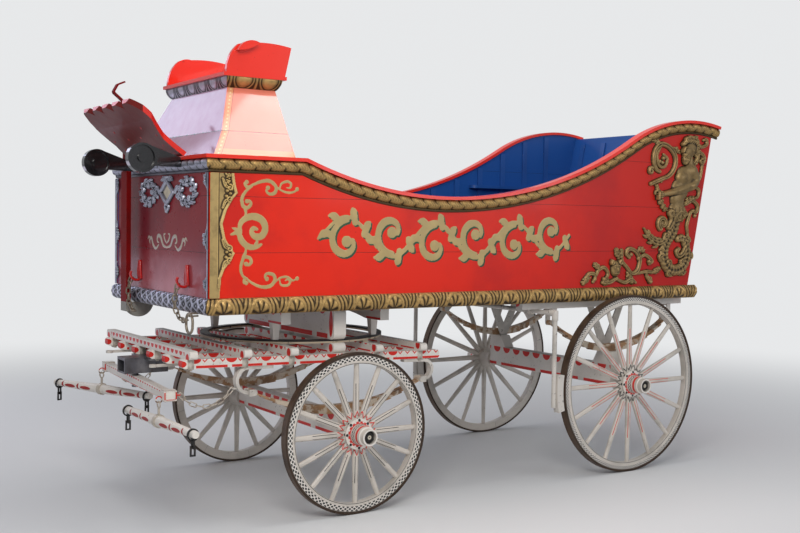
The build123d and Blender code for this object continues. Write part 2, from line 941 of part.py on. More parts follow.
def carving():
    """The relief on the left side: a half figure on a scrolled tail, and leaves round a mask."""
    with BuildPart() as relief:
        for x, z, outer_r, inner_r, thick in carved_rings:
            with BuildSketch(side_view(body_half)):
                with Locations((x, z)):
                    Circle(outer_r)
                    Circle(inner_r, mode=Mode.SUBTRACT)
            extrude(amount=-thick)
        for x, z, radius, other_x, other_z, other_r, thick in carved_limbs:
            with BuildSketch(side_view(body_half)):
                with Locations((x, z)):
                    Circle(radius)
                with Locations((other_x, other_z)):
                    Circle(other_r)
                make_hull()
            extrude(amount=-thick)
    return relief.part


write("side_carvings", pair(carving()))


# Rear axle, springs and hangers

rear_axle_x = -wheelbase
bed_width = 84
bed_end_y = hub_in_y - 14
rear_bed_low_z = rear_wheel_r - 34
rear_bed_top_z = 700
rear_pad_top_z = 790
rear_pad_in_y = rear_spring_y - 120
nut_r = 30
nut_thick = 16
collar_r = 40
hub_recess = 30


def axle(x, wheel_r, outline):
    """A wooden bed cut to outline on an iron axle, with an arm and a nut at each end."""
    with BuildPart() as bed:
        with BuildSketch(end_view(x - bed_width / 2)):
            with BuildLine():
                Polyline(*outline, close=True)
            make_face()
        extrude(amount=bed_width)
        fillet(bed.edges().filter_by(Axis.Y), 8)
        arm_plane = Plane(origin=at(x, bed_end_y - 60, wheel_r), z_dir=(0, 1, 0))
        with BuildSketch(arm_plane):
            Circle(collar_r)
        extrude(amount=hub_in_y - 2 - (bed_end_y - 60))
        with BuildSketch(arm_plane):
            Circle(arm_r)
        extrude(amount=hub_out_y - 10 - (bed_end_y - 60))
        with BuildSketch(arm_plane.offset(hub_out_y - 10 - nut_thick - (bed_end_y - 60))):
            RegularPolygon(nut_r, 6)
        extrude(amount=nut_thick)
        mirror(about=Plane.XZ)
    return bed.part


rear_outline = (
    (-bed_end_y, rear_bed_low_z),
    (bed_end_y, rear_bed_low_z),
    (bed_end_y, rear_pad_top_z),
    (rear_pad_in_y + 50, rear_pad_top_z),
    (rear_pad_in_y, rear_bed_top_z),
    (-rear_pad_in_y, rear_bed_top_z),
    (-rear_pad_in_y - 50, rear_pad_top_z),
    (-bed_end_y, rear_pad_top_z),
)
write("rear_axle", axle(rear_axle_x, rear_wheel_r, rear_outline))

front_bed_low_z = front_wheel_r - 40
front_bed_top_z = 545
front_outline = (
    (-bed_end_y, front_bed_low_z),
    (bed_end_y, front_bed_low_z),
    (bed_end_y, front_bed_top_z),
    (-bed_end_y, front_bed_top_z),
)
write("front_axle", axle(0, front_wheel_r, front_outline))

eye_r = 17
pin_r = 9
pin_gap = 0.3


def leaf_spring(x, y, seat_z, eye_z, half_span, leaves):
    """A bowed stack of leaves, the longest on top with an eye at each end."""
    depth = leaves * leaf_thick
    sag = eye_z - (seat_z + depth - leaf_thick / 2)
    radius = (half_span ** 2 + sag ** 2) / (2 * sag)
    centre_z = seat_z + depth - leaf_thick / 2 + radius
    full_turn = degrees(asin(half_span / radius))
    with BuildPart() as spring:
        with BuildSketch(side_view(y + leaf_width / 2)):
            for number in range(leaves):
                low_r = radius - leaf_thick / 2 + number * leaf_thick
                turn = full_turn * (1 - 0.82 * number / leaves)
                with BuildLine():
                    inner = CenterArc((x, centre_z), low_r, 270 - turn, 2 * turn)
                    outer = CenterArc((x, centre_z), low_r + leaf_thick, 270 - turn, 2 * turn)
                    Line(inner @ 0, outer @ 0)
                    Line(inner @ 1, outer @ 1)
                make_face()
            with Locations((x - half_span, eye_z), (x + half_span, eye_z)):
                Circle(eye_r)
                Circle(pin_r + pin_gap, mode=Mode.SUBTRACT)
        extrude(amount=leaf_width)
    return spring.part


rear_leaves = 6
rear_eye_z = 1002
rear_half_span = 530
rear_spring = leaf_spring(
    rear_axle_x, rear_spring_y, rear_pad_top_z, rear_eye_z, rear_half_span, rear_leaves
)
write("rear_springs", pair(rear_spring))

cheek_thick = 9
cheek_r = 18
hanger_thick = 12


def hanger(x, y, eye_z, top_z):
    """Two cheeks under a plate, with the pin that the spring's eye turns on."""
    half = leaf_width / 2 + pin_gap
    with BuildPart() as fork:
        with BuildSketch(side_view(y + half + cheek_thick)):
            with Locations((x, eye_z)):
                Circle(cheek_r)
            with Locations((x, (eye_z + top_z) / 2)):
                Rectangle(2 * cheek_r, top_z - eye_z)
        extrude(amount=2 * (half + cheek_thick))
        with BuildSketch(side_view(y + half)):
            with Locations((x, (eye_z + top_z) / 2 - hanger_thick / 2 - cheek_r / 2)):
                Rectangle(4 * cheek_r, top_z - eye_z - hanger_thick + cheek_r)
        extrude(amount=2 * half, mode=Mode.SUBTRACT)
        with BuildSketch(side_view(y + half)):
            with Locations((x, eye_z)):
                Circle(pin_r)
        extrude(amount=2 * half)
    return fork.part


hangers = []
for x in (rear_axle_x - rear_half_span, rear_axle_x + rear_half_span):
    hangers.append(hanger(x, rear_spring_y, rear_eye_z, bearer_low_z))
    hangers.append(mirrored(hangers[-1]))

guide_y = rear_spring_y - leaf_width / 2 - 14
guide_thick = 10
guide_half = 165
guide_foot_half = 30
guide_low_z = rear_pad_top_z + seat_gap
guide_bar = 50
with BuildPart() as guide:
    with BuildSketch(side_view(guide_y)):
        with BuildLine():
            Polyline(
                (rear_axle_x - guide_half - guide_bar / 2, floor_low_z),
                (rear_axle_x - guide_half + guide_bar / 2, floor_low_z),
                (rear_axle_x, guide_low_z + 90),
                (rear_axle_x + guide_half - guide_bar / 2, floor_low_z),
                (rear_axle_x + guide_half + guide_bar / 2, floor_low_z),
                (rear_axle_x + guide_foot_half, guide_low_z),
                (rear_axle_x - guide_foot_half, guide_low_z),
                close=True,
            )
        make_face()
    extrude(amount=guide_thick)
write("axle_guides", pair(guide.part))

shoe_clear = 8
shoe_thick = 46
shoe_low_turn = -13
shoe_turn = 22
shoe_width = 48
shaft_r = 15
shaft_x = rear_axle_x + rear_wheel_r + shoe_clear + shoe_thick + shaft_r
shaft_z = bearer_low_z - shaft_r - seat_gap
shaft_half = rim_outer_y - tyre_width / 2
arm_low_z = 480
elbow_r = shaft_r + 5
elbow_reach = 46
with BuildPart() as brake_shaft:
    with BuildLine() as shaft_path:
        Polyline(
            at(shaft_x, -shaft_half, arm_low_z),
            at(shaft_x, -shaft_half, shaft_z),
            at(shaft_x, shaft_half, shaft_z),
            at(shaft_x, shaft_half, arm_low_z),
        )
    with BuildSketch(Plane(origin=shaft_path.line @ 0, z_dir=(0, 0, 1))):
        Circle(shaft_r)
    sweep(path=shaft_path.line, transition=Transition.RIGHT)
    for side in (1, -1):
        with BuildLine() as elbow_path:
            Polyline(
                at(shaft_x, side * shaft_half, shaft_z - elbow_reach),
                at(shaft_x, side * shaft_half, shaft_z),
                at(shaft_x, side * (shaft_half - elbow_reach), shaft_z),
            )
        with BuildSketch(Plane(origin=elbow_path.line @ 0, z_dir=(0, 0, 1))):
            Circle(elbow_r)
        sweep(path=elbow_path.line, transition=Transition.RIGHT)
with BuildPart() as brake_shoe:
    with BuildSketch(side_view(shaft_half + shoe_width / 2)):
        with BuildLine():
            tread_mid = (rear_axle_x, rear_wheel_r)
            inner_r = rear_wheel_r + shoe_clear
            near = CenterArc(tread_mid, inner_r, shoe_low_turn, shoe_turn)
            far = CenterArc(tread_mid, inner_r + shoe_thick + 4, shoe_low_turn, shoe_turn)
            Line(near @ 0, far @ 0)
            Line(near @ 1, far @ 1)
        make_face()
    extrude(amount=shoe_width)
write("brake_shaft", brake_shaft.part + brake_shoe.part + mirrored(brake_shoe.part))

bearing_half = 30
bearings = []
for y in (-bearer_y + 60, bearer_y - 60):
    bearings.append(box_between(
        (shaft_x - 30, y - bearing_half / 2, shaft_z - shaft_r - 8),
        (shaft_x + 30, y + bearing_half / 2, floor_low_z),
    ) - brake_shaft.part)
write("hanger_irons", Compound(children=bearings + hangers))


# Turntable on the body: ring, bolsters, posts and kingpin

ring_gap = 0.5
upper_ring_z = ring_low_z + ring_thick + ring_gap
upper_ring_top_z = upper_ring_z + ring_thick
beam_low_z = 1064
beam_width = 60
beam_half = 560
beam_x = 330
post_width = 34
post_depth = 34
arch_depth = 40


def flat_ring(z, thick):
    with BuildPart() as ring:
        with BuildSketch(top_view(z)):
            Circle(ring_r)
            Circle(ring_r - ring_width, mode=Mode.SUBTRACT)
        extrude(amount=thick)
    return ring.part


write("upper_ring", flat_ring(upper_ring_z, ring_thick))

post_y = sqrt((ring_r - ring_width / 2) ** 2 - beam_x ** 2)


def post(x, y, low_z, high_z, spread):
    """A short square post, wider at its top by a factor."""
    lean = degrees(atan(post_width * (spread - 1) / 2 / (high_z - low_z)))
    with BuildPart() as piece:
        with BuildSketch(top_view(low_z)):
            with Locations((x, y)):
                Rectangle(post_depth, post_width)
        extrude(amount=high_z - low_z, taper=-lean)
    return piece.part


def beam(x):
    """A cross beam under the floor, arched below between its posts."""
    inner = post_y - post_width
    with BuildPart() as piece:
        with BuildSketch(end_view(x - beam_width / 2)):
            with BuildLine():
                Polyline(
                    (-inner, beam_low_z),
                    (-beam_half, beam_low_z),
                    (-beam_half, floor_low_z),
                    (beam_half, floor_low_z),
                    (beam_half, beam_low_z),
                    (inner, beam_low_z),
                )
                ThreePointArc((inner, beam_low_z), (0, beam_low_z + arch_depth), (-inner, beam_low_z))
            make_face()
        extrude(amount=beam_width)
    return piece.part


beams = []
for x in (beam_x, -beam_x):
    beams.append(beam(x))
    for y in (post_y, -post_y):
        beams.append(post(x, y, upper_ring_top_z, beam_low_z, 1.4))
write("floor_beams", Compound(children=beams + [bearer, mirrored(bearer)]))

scroll_r = 34


def bolster(low_z, high_z, bore_r):
    """A crosswise timber at the kingpin with rolled ends."""
    with BuildPart() as timber:
        with BuildSketch(end_view(-bolster_width / 2)):
            with Locations((0, (low_z + high_z) / 2)):
                Rectangle(2 * bolster_half, high_z - low_z)
        extrude(amount=bolster_width)
        fillet(timber.edges().filter_by(Axis.X), min(scroll_r, (high_z - low_z) / 2.2))
        with BuildSketch(top_view(low_z)):
            Circle(bore_r)
        extrude(amount=high_z - low_z, mode=Mode.SUBTRACT)
    return timber.part


upper_bolster = bolster(upper_ring_top_z, floor_low_z, kingpin_r)

lower_bolster_low_z = bar_top_z(bolster_width / 2)
pin_low_z = 830
pin_head_r = 30
pin_head_thick = 14
with BuildPart() as kingpin:
    with BuildSketch(top_view(pin_low_z)):
        Circle(kingpin_r)
    extrude(amount=floor_low_z - pin_low_z)
    with BuildSketch(top_view(pin_low_z - pin_head_thick)):
        RegularPolygon(pin_head_r, 6)
    extrude(amount=pin_head_thick)
write("upper_bolster", upper_bolster + kingpin.part)


# Front gear: ring, bars, cross bars, bolster

lower_ring = flat_ring(ring_low_z, ring_thick)
bars = []
for number in range(bar_count):
    y = (number - (bar_count - 1) / 2) * bar_pitch
    with BuildPart() as bar:
        with BuildSketch(side_view(y + bar_size / 2)):
            with BuildLine():
                Polyline(
                    (bar_rear_x, bar_top_z(bar_rear_x) - bar_size),
                    (bar_rear_x, bar_top_z(bar_rear_x)),
                    (bar_front_x, bar_top_z(bar_front_x)),
                    (bar_front_x, bar_top_z(bar_front_x) - bar_size),
                    close=True,
                )
            make_face()
        extrude(amount=bar_size)
        ends = bar.edges().filter_by(Axis.Y).group_by(Axis.X)
        fillet(ends[0] + ends[-1], bar_size * 0.42)
    bars.append(bar.part)
write("long_bars", Compound(children=bars))

rod_rear_x = 860
rod_reach = 60
rod_thick = 15
rod_eye_r = 20
rod_eye_in_r = 10
rod_bars = (1, 4)


def eye_rod(y):
    """An iron strap under a bar's front end, with a level eye ahead of the bar."""
    eye_x = bar_front_x + rod_reach
    rod_top_z = bar_top_z(rod_rear_x) - bar_size
    with BuildPart() as rod:
        with BuildSketch(top_view(rod_top_z - rod_thick)):
            with Locations(((rod_rear_x + eye_x) / 2, y)):
                Rectangle(eye_x - rod_rear_x, rod_thick)
            with Locations((eye_x, y)):
                Circle(rod_eye_r)
                Circle(rod_eye_in_r, mode=Mode.SUBTRACT)
        extrude(amount=rod_thick)
    return rod.part


write("eye_rods", Compound(children=[
    eye_rod((number - (bar_count - 1) / 2) * bar_pitch) for number in rod_bars
]))

crossbars = []
for x in crossbar_places:
    low = bar_top_z(x + crossbar_size / 2)
    with BuildPart() as crossbar:
        with BuildSketch(end_view(x - crossbar_size / 2)):
            with Locations((0, low + crossbar_size / 2)):
                Rectangle(2 * crossbar_half, crossbar_size)
        extrude(amount=crossbar_size)
        fillet(crossbar.edges().filter_by(Axis.X), crossbar_size * 0.42)
    crossbars.append(crossbar.part)
write("cross_bars", Compound(children=crossbars))

lower_bolster = bolster(lower_bolster_low_z, ring_low_z, kingpin_r + running_gap)

with BuildPart() as pin_plate:
    half = bar_pitch / 2 - bar_size / 2
    with BuildSketch(top_view(pin_low_z + 2)):
        Rectangle(bolster_width, 2 * half)
        Circle(kingpin_r + running_gap, mode=Mode.SUBTRACT)
    extrude(amount=lower_bolster_low_z - pin_low_z - 2)
write("lower_bolster", lower_bolster + pin_plate.part)

for x in (crossbar_places[2], crossbar_places[3]):
    y = sqrt((ring_r - ring_width / 2) ** 2 - x ** 2)
    low = bar_top_z(x + crossbar_size / 2) + crossbar_size
    for side in (1, -1):
        lower_ring += post(x, side * y, low, ring_low_z, 1)
write("lower_ring", lower_ring)

front_leaves = 6
front_eye_z = 705
front_eye_x = 558
front_spring = leaf_spring(
    0, gear_spring_y, front_bed_top_z, front_eye_z, front_eye_x, front_leaves
)
write("front_springs", pair(front_spring))

iron_thick = 18
iron_width = 40
iron_arm = 150
iron_reach = 75
iron_gap = 26
chain_eye_in_r = 11
chain_eye_wire = 6
chain_eye_fall = 30


def scroll_iron(side):
    """A C-shaped iron from a bar's underside round to a spring's eye, ahead or behind."""
    eye = side * front_eye_x
    mid_x = eye + side * iron_gap
    high_z = bar_top_z(min(mid_x, mid_x + side * iron_reach)) - bar_size
    mean_r = (high_z - iron_thick / 2 - front_eye_z) / 2
    mid_z = front_eye_z + mean_r
    half = leaf_width / 2 + pin_gap
    inner_x = mid_x - side * iron_arm
    with BuildPart() as iron:
        with BuildSketch(side_view(gear_spring_y + iron_width / 2)):
            with BuildLine():
                inner_r = mean_r - iron_thick / 2
                outer_r = mean_r + iron_thick / 2
                for radius in (inner_r, outer_r):
                    ThreePointArc(
                        (mid_x, mid_z - radius),
                        (mid_x + side * radius, mid_z),
                        (mid_x, mid_z + radius),
                    )
                Line((mid_x, mid_z - inner_r), (mid_x, mid_z - outer_r))
                Line((mid_x, mid_z + inner_r), (mid_x, mid_z + outer_r))
            make_face()
            with BuildLine():
                Polyline(
                    (mid_x, high_z),
                    (inner_x, bar_top_z(inner_x) - bar_size),
                    (inner_x, bar_top_z(inner_x) - bar_size - iron_thick),
                    (mid_x, high_z - iron_thick),
                    close=True,
                )
            make_face()
        extrude(amount=iron_width)
        with BuildSketch(side_view(gear_spring_y + half + cheek_thick)):
            with Locations((eye + side * iron_gap / 2, front_eye_z)):
                Rectangle(iron_gap + 6, 2 * cheek_r)
            with Locations((eye, front_eye_z)):
                Circle(cheek_r)
        extrude(amount=2 * (half + cheek_thick))
        with BuildSketch(side_view(gear_spring_y + half)):
            with Locations((eye, front_eye_z)):
                Rectangle(2 * cheek_r + 2, 2 * cheek_r + 2)
        extrude(amount=2 * half, mode=Mode.SUBTRACT)
        with BuildSketch(side_view(gear_spring_y + half)):
            with Locations((eye, front_eye_z)):
                Circle(pin_r)
        extrude(amount=2 * half)
    return iron.part


def flat_eye(x, y, z):
    """A level iron eye for a chain's end link."""
    with BuildPart() as eye:
        with BuildSketch(top_view(z - chain_eye_wire / 2)):
            with Locations((x, y)):
                Circle(chain_eye_in_r + chain_eye_wire)
                Circle(chain_eye_in_r, mode=Mode.SUBTRACT)
        extrude(amount=chain_eye_wire)
    return eye.part


iron_mid_x = front_eye_x + iron_gap
iron_high_z = bar_top_z(iron_mid_x) - bar_size
iron_outer_r = (iron_high_z - front_eye_z) / 2
gear_eye_x = iron_mid_x + iron_outer_r * cos(radians(chain_eye_fall)) + chain_eye_in_r + 3
gear_eye_z = (iron_high_z + front_eye_z - iron_thick) / 2 - iron_outer_r * sin(radians(chain_eye_fall))
irons = []
for side in (1, -1):
    iron = scroll_iron(side)
    if side == 1:
        iron += flat_eye(gear_eye_x, gear_spring_y, gear_eye_z)
    irons += [iron, mirrored(iron)]
write("scroll_irons", Compound(children=irons))


# Pole socket and its pin

socket_front_x = 1088
socket_rear_x = 830
socket_wall = 10
socket_half = 62
socket_low_z = 770
socket_inner_half = 50
socket_height = 84
evener_pin_r = 12
pole_pin_r = 11
pole_pin_x = 900
flange_half = bar_pitch / 2 + bar_size / 2
pin_foot_thick = 12
evener_high_z = evener_low_z + evener_height
with BuildPart() as pole_socket:
    with BuildSketch(side_view(socket_half)):
        with BuildLine():
            Polyline(
                (socket_rear_x, socket_low_z),
                (socket_rear_x, bar_top_z(socket_rear_x) - bar_size),
                (bar_front_x, bar_top_z(bar_front_x) - bar_size),
                (socket_front_x, bar_top_z(bar_front_x) - bar_size),
                (socket_front_x, socket_low_z),
                close=True,
            )
        make_face()
    extrude(amount=2 * socket_half)
    with BuildSketch(side_view(flange_half)):
        with BuildLine():
            Polyline(
                (socket_rear_x, bar_top_z(socket_rear_x) - bar_size - socket_wall),
                (socket_rear_x, bar_top_z(socket_rear_x) - bar_size),
                (bar_front_x, bar_top_z(bar_front_x) - bar_size),
                (bar_front_x, bar_top_z(bar_front_x) - bar_size - socket_wall),
                close=True,
            )
        make_face()
    extrude(amount=2 * flange_half)
    with BuildSketch(end_view(socket_rear_x + socket_wall)):
        with Locations((0, socket_low_z + socket_wall + socket_height / 2 - socket_wall)):
            Rectangle(2 * socket_inner_half, socket_height - 2 * socket_wall)
    extrude(amount=socket_front_x - socket_rear_x, mode=Mode.SUBTRACT)
    with BuildSketch(side_view(socket_half)):
        with Locations((pole_pin_x, socket_low_z + socket_height / 2)):
            Circle(pole_pin_r)
    extrude(amount=2 * socket_half, mode=Mode.SUBTRACT)
    pin_top = socket_low_z - evener_low_z + seat_gap
    with BuildSketch(top_view(evener_low_z - seat_gap)):
        with Locations((evener_x, 0)):
            Circle(evener_pin_r)
    extrude(amount=pin_top)
    with BuildSketch(top_view(evener_low_z - seat_gap - pin_foot_thick)):
        with Locations((evener_x, 0)):
            RegularPolygon(2.2 * evener_pin_r, 6)
    extrude(amount=pin_foot_thick)
write("pole_socket", pole_socket.part)


# Evener, singletrees and their irons

end_height = 44
clip_width = 26
clip_thick = 6
eye_wire = 6
eye_in_r = 14
end_cap = evener_half - tree_y + clip_width / 2
evener_eye_x = evener_x - evener_width / 2 - clip_thick - chain_eye_in_r - 3
evener_mid_z = evener_low_z + evener_height / 2


def swing(piece, x, y, turn):
    """The piece turned level about an upright line at x ahead of the front axle and at y."""
    return piece.rotate(Axis(at(x, y, 0), (0, 0, 1)), turn)


with BuildPart() as evener:
    with BuildSketch(end_view(evener_x - evener_width / 2)):
        with BuildLine():
            low = evener_mid_z - end_height / 2
            high = evener_mid_z + end_height / 2
            Polyline(
                (-evener_half, low),
                (-evener_width, evener_low_z),
                (evener_width, evener_low_z),
                (evener_half, low),
                (evener_half, high),
                (evener_width, evener_high_z),
                (-evener_width, evener_high_z),
                (-evener_half, high),
                close=True,
            )
        make_face()
    extrude(amount=evener_width)
    chamfer(evener.edges().group_by(Axis.X)[0] + evener.edges().group_by(Axis.X)[-1], 5)
    with BuildSketch(top_view(evener_low_z - 1)):
        with Locations((evener_x, 0)):
            Circle(evener_pin_r + running_gap)
    extrude(amount=evener_height + 2, mode=Mode.SUBTRACT)
write("evener", swing(evener.part, evener_x, 0, evener_turn))

clip_y = tree_y - clip_width / 2
share = (clip_y - evener_width) / (evener_half - evener_width)
clip_inner_half = (evener_height + (end_height - evener_height) * share) / 2 + seat_gap
upper_eye_z = evener_mid_z - clip_inner_half
lower_eye_z = upper_eye_z - 2 * eye_in_r + eye_gap


def eyelet(plane, centre):
    """An upright ring of square section, drawn on a plane through its middle."""
    with BuildPart() as ring:
        with BuildSketch(plane):
            with Locations(centre):
                Circle(eye_in_r + eye_wire)
                Circle(eye_in_r, mode=Mode.SUBTRACT)
        extrude(amount=eye_wire / 2, both=True)
    return ring.part


clips = []
for side in (1, -1):
    cap_y = side * (evener_half - end_cap / 2)
    with BuildPart() as end_band:
        with BuildSketch(side_view(cap_y + end_cap / 2)):
            with Locations((evener_x, evener_mid_z)):
                Rectangle(evener_width + 2 * clip_thick, 2 * (clip_inner_half + clip_thick))
                Rectangle(evener_width, 2 * clip_inner_half, mode=Mode.SUBTRACT)
        extrude(amount=end_cap)
    tree_eye = eyelet(side_view(side * tree_y), (tree_x, upper_eye_z))
    clip = end_band.part + tree_eye + flat_eye(evener_eye_x, cap_y, evener_mid_z)
    clips.append(swing(clip, evener_x, 0, evener_turn))
write("evener_clips", Compound(children=clips))

tree_mid_r = 30
tree_end_r = 19
neck_inset = 34
neck_width = 10


def hung(piece, side):
    """A piece of a singletree, turned in its clip and then with the evener."""
    in_clip = swing(piece, tree_x, side * tree_y, tree_turns[side] - evener_turn)
    return swing(in_clip, evener_x, 0, evener_turn)


def singletree(side):
    """A round bar that tapers to both ends."""
    y = side * tree_y
    with BuildPart() as tree:
        with BuildSketch(top_view(tree_z)):
            with BuildLine():
                Polyline(
                    (tree_x, y - tree_half),
                    (tree_x + tree_end_r, y - tree_half),
                    (tree_x + tree_mid_r, y),
                    (tree_x + tree_end_r, y + tree_half),
                    (tree_x, y + tree_half),
                    close=True,
                )
            make_face()
        revolve(axis=Axis(at(tree_x, y, tree_z), (0, 1, 0)))
    return tree.part


def tree_band(side):
    """The iron band and stem that hang a singletree from the evener's clip."""
    y = side * tree_y
    with BuildPart() as iron:
        with BuildSketch(side_view(y + clip_width / 2)):
            with Locations((tree_x, tree_z)):
                Circle(tree_mid_r + clip_thick)
                Circle(tree_mid_r + running_gap, mode=Mode.SUBTRACT)
        extrude(amount=clip_width)
        with BuildSketch(top_view(tree_z + tree_mid_r + clip_thick / 2)):
            with Locations((tree_x, y)):
                Rectangle(eye_wire * 1.6, eye_wire * 1.6)
        extrude(amount=lower_eye_z - eye_in_r - eye_wire / 2 - tree_z - tree_mid_r - clip_thick / 2)
    return iron.part + eyelet(end_view(tree_x), (y, lower_eye_z))


neck_r = tree_end_r + (tree_mid_r - tree_end_r) * neck_inset / tree_half
neck_ring_in_r = neck_r + 5
neck_ring_wire = 7
trace_drop = 76
trace_wire = 8
trace_width = 30


def trace_irons(side):
    """At each end a ring round the tree, and two links that hang from it."""
    pieces = []
    for end in (-1, 1):
        y = side * tree_y + end * (tree_half - neck_inset)
        ring_z = tree_z - neck_ring_in_r + neck_r + neck_width * 0.03
        with BuildPart() as ring:
            with BuildSketch(side_view(y + neck_width / 2)):
                with Locations((tree_x, ring_z)):
                    Circle(neck_ring_in_r + neck_ring_wire)
                    Circle(neck_ring_in_r, mode=Mode.SUBTRACT)
            extrude(amount=neck_width)
        pieces.append(ring.part)
        low = ring_z - neck_ring_in_r + chain_gap
        top = at(tree_x, y, low)
        bottom = at(tree_x, y, low - trace_drop)
        pieces += chain(top, bottom, 2, 0.5, trace_width, trace_wire, cut=0)
    return pieces


for side, name in ((1, "left"), (-1, "right")):
    irons = [tree_band(side)] + trace_irons(side)
    write(f"{name}_singletree", hung(singletree(side), side))
    write(f"{name}_tree_irons", Compound(children=[hung(iron, side) for iron in irons]))

stay_links = 9
stay_length = 365
eye_mid_r = chain_eye_in_r + chain_eye_wire / 2


def half_turn_of(share):
    """Half the turn of an arc whose chord is a share of its length, in radians."""
    low, high = 0.01, 2.5
    for step in range(50):
        middle = (low + high) / 2
        if sin(middle) / middle > share:
            low = middle
        else:
            high = middle
    return middle


def stay_chain(side):
    """A slack chain from the scroll iron's eye to the turned evener's."""
    turn = radians(evener_turn)
    eye_x = evener_eye_x - evener_x
    eye_y = side * (evener_half - end_cap / 2)
    rear = Vector(*at(gear_eye_x, side * gear_spring_y, gear_eye_z))
    front = Vector(*at(
        evener_x + eye_x * cos(turn) - eye_y * sin(turn),
        eye_x * sin(turn) + eye_y * cos(turn),
        evener_mid_z,
    ))
    along = Vector(front.X - rear.X, front.Y - rear.Y, 0).normalized()
    half_turn = half_turn_of(((front - rear).length - 2 * eye_mid_r) / stay_length)
    slope = half_turn * (1 - 1 / stay_links)
    back = chain_eye_wire / 2 * (cos(slope) + sin(slope)) + chain_gap
    inwards = along * (eye_mid_r - back * cos(slope))
    upwards = Vector(0, 0, back * sin(slope))
    start = rear + inwards + upwards
    end = front - inwards + upwards
    sag = (end - start).length / 2 * tan(half_turn / 2)
    return chain(start, end, stay_links, sag)


write("stay_chains", Compound(children=stay_chain(1) + stay_chain(-1)))


# Wheels, drawn about their axle with the outer side up

rim_mid_y = rim_outer_y - tyre_width / 2
spoke_root = (38, 34)
spoke_tip = (28, 24)
spoke_cut = 8
nave_r = 72
nave_back_r = 58
nave_out_y = rim_mid_y + 30
flange_r = 88
flange_thick = 9
barrel_r = (60, 54)
barrel_out_y = hub_out_y - 37
band_r = 47
recess_r = 37


def turned(outline):
    """A solid turned about the axle from an outline of radius and distance."""
    with BuildPart() as solid:
        with BuildSketch(Plane.XZ):
            with BuildLine():
                Polyline(*outline, close=True)
            make_face()
        revolve(axis=Axis.Z)
    return solid.part


def wheel_pieces(wheel_r):
    """The tyre and the wheel of a left wheel, along its own axle."""
    bore = arm_r + running_gap
    felloe_r = wheel_r - tyre_thick
    felloe_in_r = felloe_r - felloe_depth
    tyre = turned((
        (felloe_r, rim_outer_y - tyre_width),
        (wheel_r, rim_outer_y - tyre_width),
        (wheel_r, rim_outer_y),
        (felloe_r, rim_outer_y),
    ))
    spoke_ends = (nave_r - 12, felloe_in_r + 8)
    face_on = Plane(origin=(0, 0, rim_mid_y), x_dir=(1, 0, 0), z_dir=(0, 0, 1))
    edge_on = Plane(origin=(0, 0, rim_mid_y), x_dir=(1, 0, 0), z_dir=(0, -1, 0))
    with BuildPart() as spoke:
        for plane, base, tip in (
            (face_on, spoke_root[0] / 2, spoke_tip[0] / 2),
            (edge_on, spoke_root[1] / 2, spoke_tip[1] / 2),
        ):
            with BuildSketch(plane):
                with BuildLine():
                    Polyline(
                        (spoke_ends[0], -base),
                        (spoke_ends[0], base),
                        (spoke_ends[1], tip),
                        (spoke_ends[1], -tip),
                        close=True,
                    )
                make_face()
            mode = Mode.INTERSECT if spoke.part else Mode.ADD
            extrude(amount=spoke_root[0], both=True, mode=mode)
        long_edges = spoke.edges().filter_by(lambda edge: edge.length > spoke_ends[1] - spoke_ends[0])
        chamfer(long_edges, spoke_cut)
    nave = turned((
        (bore, hub_in_y),
        (nave_back_r, hub_in_y),
        (nave_back_r, hub_in_y + 34),
        (nave_r, hub_in_y + 64),
        (nave_r, nave_out_y),
        (bore, nave_out_y),
    ))
    felloe = turned((
        (felloe_in_r, rim_mid_y - felloe_width / 2),
        (felloe_r, rim_mid_y - felloe_width / 2),
        (felloe_r, rim_mid_y + felloe_width / 2),
        (felloe_in_r, rim_mid_y + felloe_width / 2),
    ))
    with BuildPart() as wood:
        add(nave)
        add(felloe)
        with PolarLocations(0, spoke_count):
            add(spoke.part)
    hub = turned((
        (bore, nave_out_y),
        (flange_r, nave_out_y),
        (flange_r, nave_out_y + flange_thick),
        (barrel_r[0], nave_out_y + flange_thick + 4),
        (barrel_r[1], barrel_out_y),
        (band_r, barrel_out_y + 4),
        (band_r, hub_out_y),
        (recess_r, hub_out_y),
        (recess_r, hub_out_y - hub_recess),
        (bore, hub_out_y - hub_recess),
    ))
    return {"tyre": tyre, "wheel": wood.part + hub}


for place, x, wheel_r in (("front", 0, front_wheel_r), ("rear", rear_axle_x, rear_wheel_r)):
    axle_plane = Plane(origin=at(x, 0, wheel_r), x_dir=(1, 0, 0), z_dir=(0, 1, 0))
    for kind, piece in wheel_pieces(wheel_r).items():
        left = piece.moved(axle_plane.location)
        write(f"{place}_left_{kind}", left)
        write(f"{place}_right_{kind}", mirrored(left))
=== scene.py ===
"""The looks of a horse-drawn parade wagon: paint, gilding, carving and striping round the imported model."""
import math

import bpy
import numpy as np
from mathutils import Matrix, Vector


